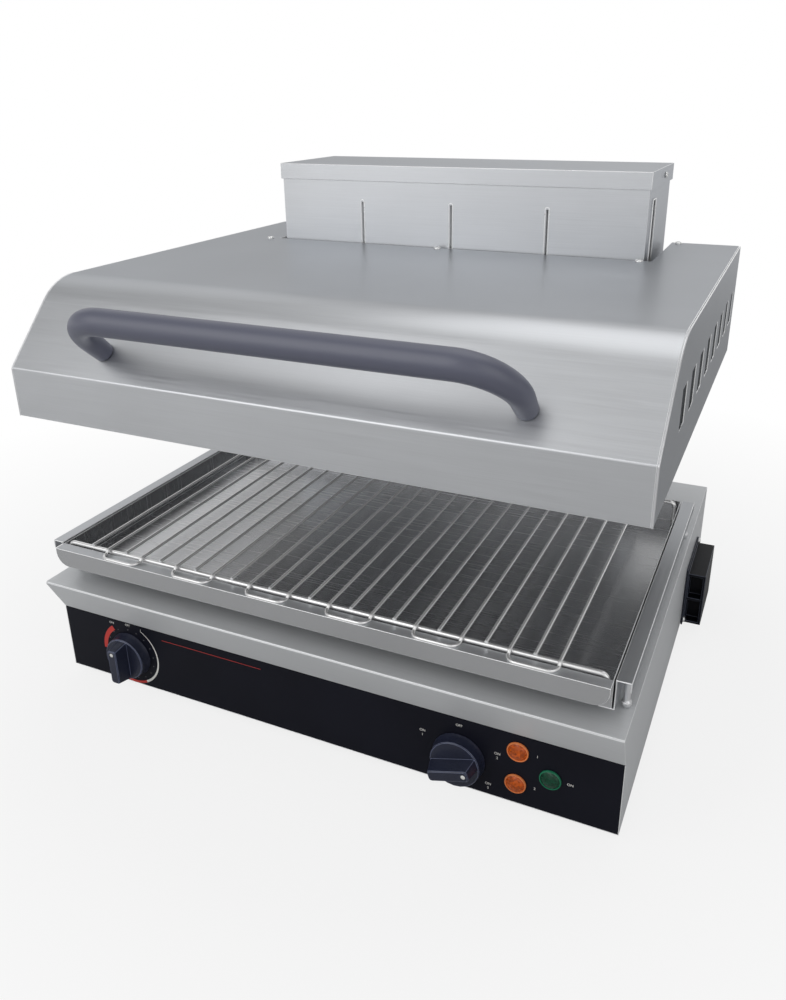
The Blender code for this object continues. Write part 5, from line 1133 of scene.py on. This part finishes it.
class GRILL_OT_panel(bpy.types.Operator):
    """Finishes the panel film and prints its dial, marks and plain labels"""

    bl_idname = "grill.panel"
    bl_label = "Control panel"

    def execute(self, context):
        dressed("control_overlay", "printed polyester film", FILM_EDGE)
        self.add_rim()
        white = [self.ribbon(28, 152, 0.0005, 0.0027), *self.labels()]
        red = [self.ribbon(152, 212, 0.0027, 0.0030), self.ribbon(-92, -36, 0.0046, 0.0056)]
        self.print_piece("panel_print_white", white, "white ink")
        self.print_piece("panel_print_ticks", self.timer_ticks(), "grey ink")
        self.print_piece("panel_print_red", [*red, self.red_rule()], "red ink")
        return {"FINISHED"}

    def add_rim(self):
        """The folded front sheet's edge, which shows as a thin line round the film."""
        low, high = PANEL
        wide, proud, deep, edge = 0.0006, 0.00015, 0.0006, 0.00015
        strips = (
            (low.x, low.x + wide, low.z, high.z),
            (high.x - wide, high.x, low.z, high.z),
            (low.x, high.x, low.z, low.z + wide),
        )
        bm = bmesh.new()
        for left, right, foot, top in strips:
            centre = ((left + right) / 2, low.y - proud + deep / 2, (foot + top) / 2)
            block(bm, centre, (right - left, deep, top - foot))
        obj = round_edges(shade(from_bmesh(bm, "panel_rim")), edge, 2, 30)
        # The rim's paler steel is a painted highlight round the film
        paint(obj, "buffed edge", "base")

    def print_piece(self, name, parts, finish):
        obj = joined(name, parts)
        obj.data.transform(Matrix.Translation((0, PANEL_FACE, 0)))
        paint(obj, finish, "base")

    def slab(self, outline):
        """A thin print from a closed (x, z) outline on the panel's face."""
        bm = bmesh.new()
        depth = sizes().print_depth
        prism(bm, *[[(x, y, z) for x, z in outline] for y in (-2 * depth, -depth)])
        return from_bmesh(bm, "print")

    def ribbon(self, start, end, wide_start, wide_end, steps=28):
        """An arc round the timer, with a width that changes along it."""
        rim, inside = [], []
        for i in range(steps + 1):
            share = i / steps
            degrees = start + (end - start) * share
            wide = wide_start + (wide_end - wide_start) * share
            rim.append(on_dial(TIMER, ARC_RADIUS, degrees))
            inside.append(on_dial(TIMER, ARC_RADIUS - wide, degrees))
        return self.slab(rim + inside[::-1])

    def timer_ticks(self):
        """A dot left of the OFF mark, and an even ring of dots from it on."""
        before, pitch, count = -27, 21.2, 16
        degrees = [before] + [pitch * i for i in range(count)]
        places = [on_dial(TIMER, TICK_RADIUS, turn) for turn in degrees]
        return [self.slab(arc(place, TICK, 0, 330, 11)) for place in places]

    def red_rule(self):
        """A plain thin line along the panel's upper part."""
        low, high, z, thick = -0.172, -0.052, 0.0765, 0.0005
        return self.slab([(low, z), (high, z), (high, z + thick), (low, z + thick)])

    def word(self, text, x, z):
        curve = bpy.data.curves.new("word", "FONT")
        curve.body = text
        curve.size = LETTER
        curve.align_x = "CENTER"
        curve.align_y = "CENTER"
        curve.extrude = sizes().print_depth / 2
        obj = add_object("word", curve)
        mesh = plain_mesh(obj)
        bpy.data.objects.remove(obj)
        stand = Matrix.Rotation(math.radians(90), 4, "X")
        mesh.transform(Matrix.Translation((x, -1.5 * sizes().print_depth, z)) @ stand)
        return add_object("word", mesh)

    def labels(self):
        """The timer's marks, the selector's four places and a name beside each lamp."""
        above, below, beside = 0.0022, 0.0026, 0.0075
        words = [("ON", -0.237, 0.0815), ("OFF", -0.2156, 0.0835), ("1", -0.1988, 0.0815)]
        words.append(("OFF", *on_dial(SELECTOR, 0.0345, 0)))
        for number, degrees, radius in (("1", -66, 0.0385), ("2", 69, 0.0385), ("3", 128, 0.036)):
            x, z = on_dial(SELECTOR, radius, degrees)
            words += [("ON", x, z + above), (number, x, z - below)]
        lamps = (("1", "amber_lamp_upper"), ("2", "amber_lamp_lower"), ("ON", "green_lamp"))
        for text, node in lamps:
            low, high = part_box(node)
            words.append((text, high.x + beside, (low.z + high.z) / 2))
        return [self.word(*word) for word in words]


class GRILL_OT_knobs(bpy.types.Operator):
    """Dresses the two knobs and sets a white dot in each grip"""

    bl_idname = "grill.knobs"
    bl_label = "Knobs"

    def execute(self, context):
        edge = sizes().moulded_edge
        profile = [(0, 0.0003), (0.0016, 0.00025), (0.0021, 0.0), (0.0021, -0.0006), (0, -0.0006)]
        for name, axis, turn in (("timer", TIMER, 0), ("selector", SELECTOR, SELECTOR_REST)):
            # The knob's edges get a paler plastic: a painted highlight along them
            dressed(f"{name}_knob", "blue-black knob plastic", edge, 3, edge="worn knob edge")
            refinish(f"{name}_spindle", "chromed wire")
            x, z = on_dial(axis, DOT_RADIUS, turn)
            place = pointing((x, PANEL_FACE - GRIP_FACE, z), (0, -1, 0))
            paint(turned(f"{name}_dot", profile, place, 24, 40), "white ink", name)
        return {"FINISHED"}


class GRILL_OT_lamps(bpy.types.Operator):
    """Cuts the three signal lamps' lenses into facets inside a pale rim"""

    bl_idname = "grill.lamps"
    bl_label = "Signal lamps"

    def execute(self, context):
        lamps = {"amber_lamp_upper": "amber", "amber_lamp_lower": "amber", "green_lamp": "green"}
        gap = 0.0003
        rim = [(0.0098, 0), (0.0098, 0.0013), (0.0094, 0.0018)]
        rim += [(0.0088, 0.0018), (0.0084, 0.0012), (0.0084, 0)]
        for node, hue in lamps.items():
            low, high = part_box(node)
            centre = (low + high) / 2
            place = pointing((centre.x, PANEL_FACE - gap, centre.z), (0, -1, 0))
            lens = self.add_lens(f"{node}_lens", place)
            paint(lens, f"{hue} polycarbonate", "base")
            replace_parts(lens, node)
            ring = turned(f"{node}_rim", rim, place, 40, 40)
            paint(ring, f"{hue} rim", "base")
        return {"FINISHED"}

    def add_lens(self, name, place):
        """A dome of flat triangles, with a barrel behind it."""
        sides, radius, rise = 14, 0.0086, 0.0042
        barrel, deep = 0.0058, 0.026
        shares = ((1.0, 0.0), (1.0, 0.30), (0.80, 0.62), (0.48, 0.88), (0.18, 1.0))
        bm = bmesh.new()
        rings = [add_ring(bm, place, barrel, height, sides) for height in (-deep, 0)]
        for i, (wide, high) in enumerate(shares):
            rings.append(add_ring(bm, place, radius * wide, rise * high, sides, (i % 2) / 2))
        tip = bm.verts.new(place @ Vector((0, 0, rise * 1.02)))
        for k in range(sides):
            n = (k + 1) % sides
            for first, second in zip(rings, rings[1:]):
                bm.faces.new((first[k], first[n], second[k]))
                bm.faces.new((first[n], second[n], second[k]))
            bm.faces.new((rings[-1][k], rings[-1][n], tip))
        bm.faces.new(rings[0])
        bmesh.ops.recalc_face_normals(bm, faces=bm.faces)
        return from_bmesh(bm, name)


class GRILL_OT_tray(bpy.types.Operator):
    """Dresses the drip tray, its two rails and their posts"""

    bl_idname = "grill.tray"
    bl_label = "Tray and rails"

    def execute(self, context):
        self.finish_rim(dressed_steel("drip_tray", "cold-rolled tray steel", SMALL_EDGE))
        for node in ("side_rail_left", "side_rail_right"):
            dressed_steel(node, "brushed stainless along y")
        for corner in CORNERS:
            self.add_post(f"rail_post_{corner}")
        return {"FINISHED"}

    def finish_rim(self, tray):
        """The tray's rim keeps its mill grain, because no food or heat smooths it."""
        tray.data.materials.append(look("satin tray rim"))
        near, upright = 0.0005, 0.9
        rim = TRAY[1].z - near
        for face in tray.data.polygons:
            if face.material_index == 0 and face.center.z > rim and face.normal.z > upright:
                face.material_index = len(tray.data.materials) - 1

    def add_post(self, node):
        """A turned post with a ball collar above its foot."""
        low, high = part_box(node)
        tall = high.z - low.z
        place = Matrix.Translation(((low.x + high.x) / 2, (low.y + high.y) / 2, low.z))
        profile = [(0, 0), (0.0030, 0)] + arc((0, 0.0034), 0.0046, -48, 50, 10)
        profile += [(0.0029, 0.0072), (0.0029, tall), (0, tall)]
        obj = turned(f"{node}_turned", profile, place, 32, 50)
        paint(obj, "polished seam", body_of(node))
        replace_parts(obj, node)


class GRILL_OT_grid(bpy.types.Operator):
    """Draws the cooking grid: single wires, loops and two cross rods"""

    bl_idname = "grill.cooking_grid"
    bl_label = "Cooking grid"

    def execute(self, context):
        low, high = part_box("cooking_grid")
        size = sizes()
        thin, thick, pitch = size.wire_radius, size.rod_radius, size.wire_pitch
        margin, overhang, stub, tail, weld, rise = 0.0322, 0.0148, 0.0015, 0.003, 0.0004, 0.0003
        half = high.x - thick
        first = margin - half
        front, rear = low.y + thin, high.y
        front_rod, rear_rod = front + overhang, rear - tail
        wire_z = high.z - thin
        rod_z = wire_z - thick - thin + weld
        loop_z = rod_z + rise
        single = [(first, front_rod - stub, wire_z), (first, rear, wire_z)]
        loop = self.loop(first + pitch, 2 * pitch, front, front_rod, rear, wire_z, loop_z)
        rod = self.rod(half, front_rod, low.z, rod_z)
        finish = "chromed wire"
        parts = [
            wires("wires", single, thin, finish, size.single_wires, (2 * pitch, 0, 0)),
            wires("loops", loop, thin, finish, size.wire_loops, (4 * pitch, 0, 0)),
            wires("rods", rod, thick, finish, 2, (0, rear_rod - front_rod, 0), 20),
        ]
        obj = shade(joined("grid_wires", parts), 40)
        paint(obj, finish, "grid")
        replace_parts(obj, "cooking_grid")
        return {"FINISHED"}

    def loop(self, left, width, front, rod, rear, high, low):
        """One loop: back along the grid, a step down past the rod and a rounded front."""
        bend, start, run, steps = 0.0085, 0.0025, 0.0045, 8
        side = [(left, rear, high), (left, rod - start, high)]
        for i in range(1, steps + 1):
            share = i / steps
            drop = (1 - math.cos(math.pi * share)) / 2
            side.append((left, rod - start - run * share, high + (low - high) * drop))
        side += [(x, y, low) for x, y in arc((left + bend, front + bend), bend, 180, 270, 8)[1:]]
        return side + [(2 * left + width - x, y, z) for x, y, z in side[::-1]]

    def rod(self, half, y, foot, level):
        """A cross rod with its ends bent down to the tray's floor."""
        bend = 0.006
        right = [(half, foot)] + arc((half - bend, level - bend), bend, 0, 90, 8)
        outline = right + [(-x, z) for x, z in right[::-1]]
        return [(x, y, z) for x, z in outline]


OPERATORS = (
    GRILL_OT_stage,
    GRILL_OT_base,
    GRILL_OT_panel,
    GRILL_OT_knobs,
    GRILL_OT_lamps,
    GRILL_OT_grips,
    GRILL_OT_tray,
    GRILL_OT_grid,
    GRILL_OT_mast,
    GRILL_OT_lift,
    GRILL_OT_hood,
    GRILL_OT_heating,
    GRILL_OT_handle,
)


class GRILL_PT_pieces(bpy.types.Panel):
    """Sizes, colours and one button for each group of pieces"""

    bl_idname = "GRILL_PT_pieces"
    bl_label = "Salamander grill"
    bl_space_type = "VIEW_3D"
    bl_region_type = "UI"
    bl_category = "Grill"

    def draw(self, context):
        for group in (context.scene.grill_sizes, context.scene.grill_colours):
            for name in group.__annotations__:
                self.layout.prop(group, name)
        for operator in OPERATORS:
            self.layout.operator(operator.bl_idname)


def register():
    for cls in (GrillSizes, GrillColours, *OPERATORS, GRILL_PT_pieces):
        bpy.utils.register_class(cls)
    bpy.types.Scene.grill_sizes = PointerProperty(type=GrillSizes)
    bpy.types.Scene.grill_colours = PointerProperty(type=GrillColours)


def unregister():
    del bpy.types.Scene.grill_colours
    del bpy.types.Scene.grill_sizes
    for cls in (GRILL_PT_pieces, *reversed(OPERATORS), GrillColours, GrillSizes):
        bpy.utils.unregister_class(cls)


def main():
    register()
    for operator in OPERATORS:
        group, name = operator.bl_idname.split(".")
        getattr(getattr(bpy.ops, group), name)()


if __name__ == "__main__":
    main()
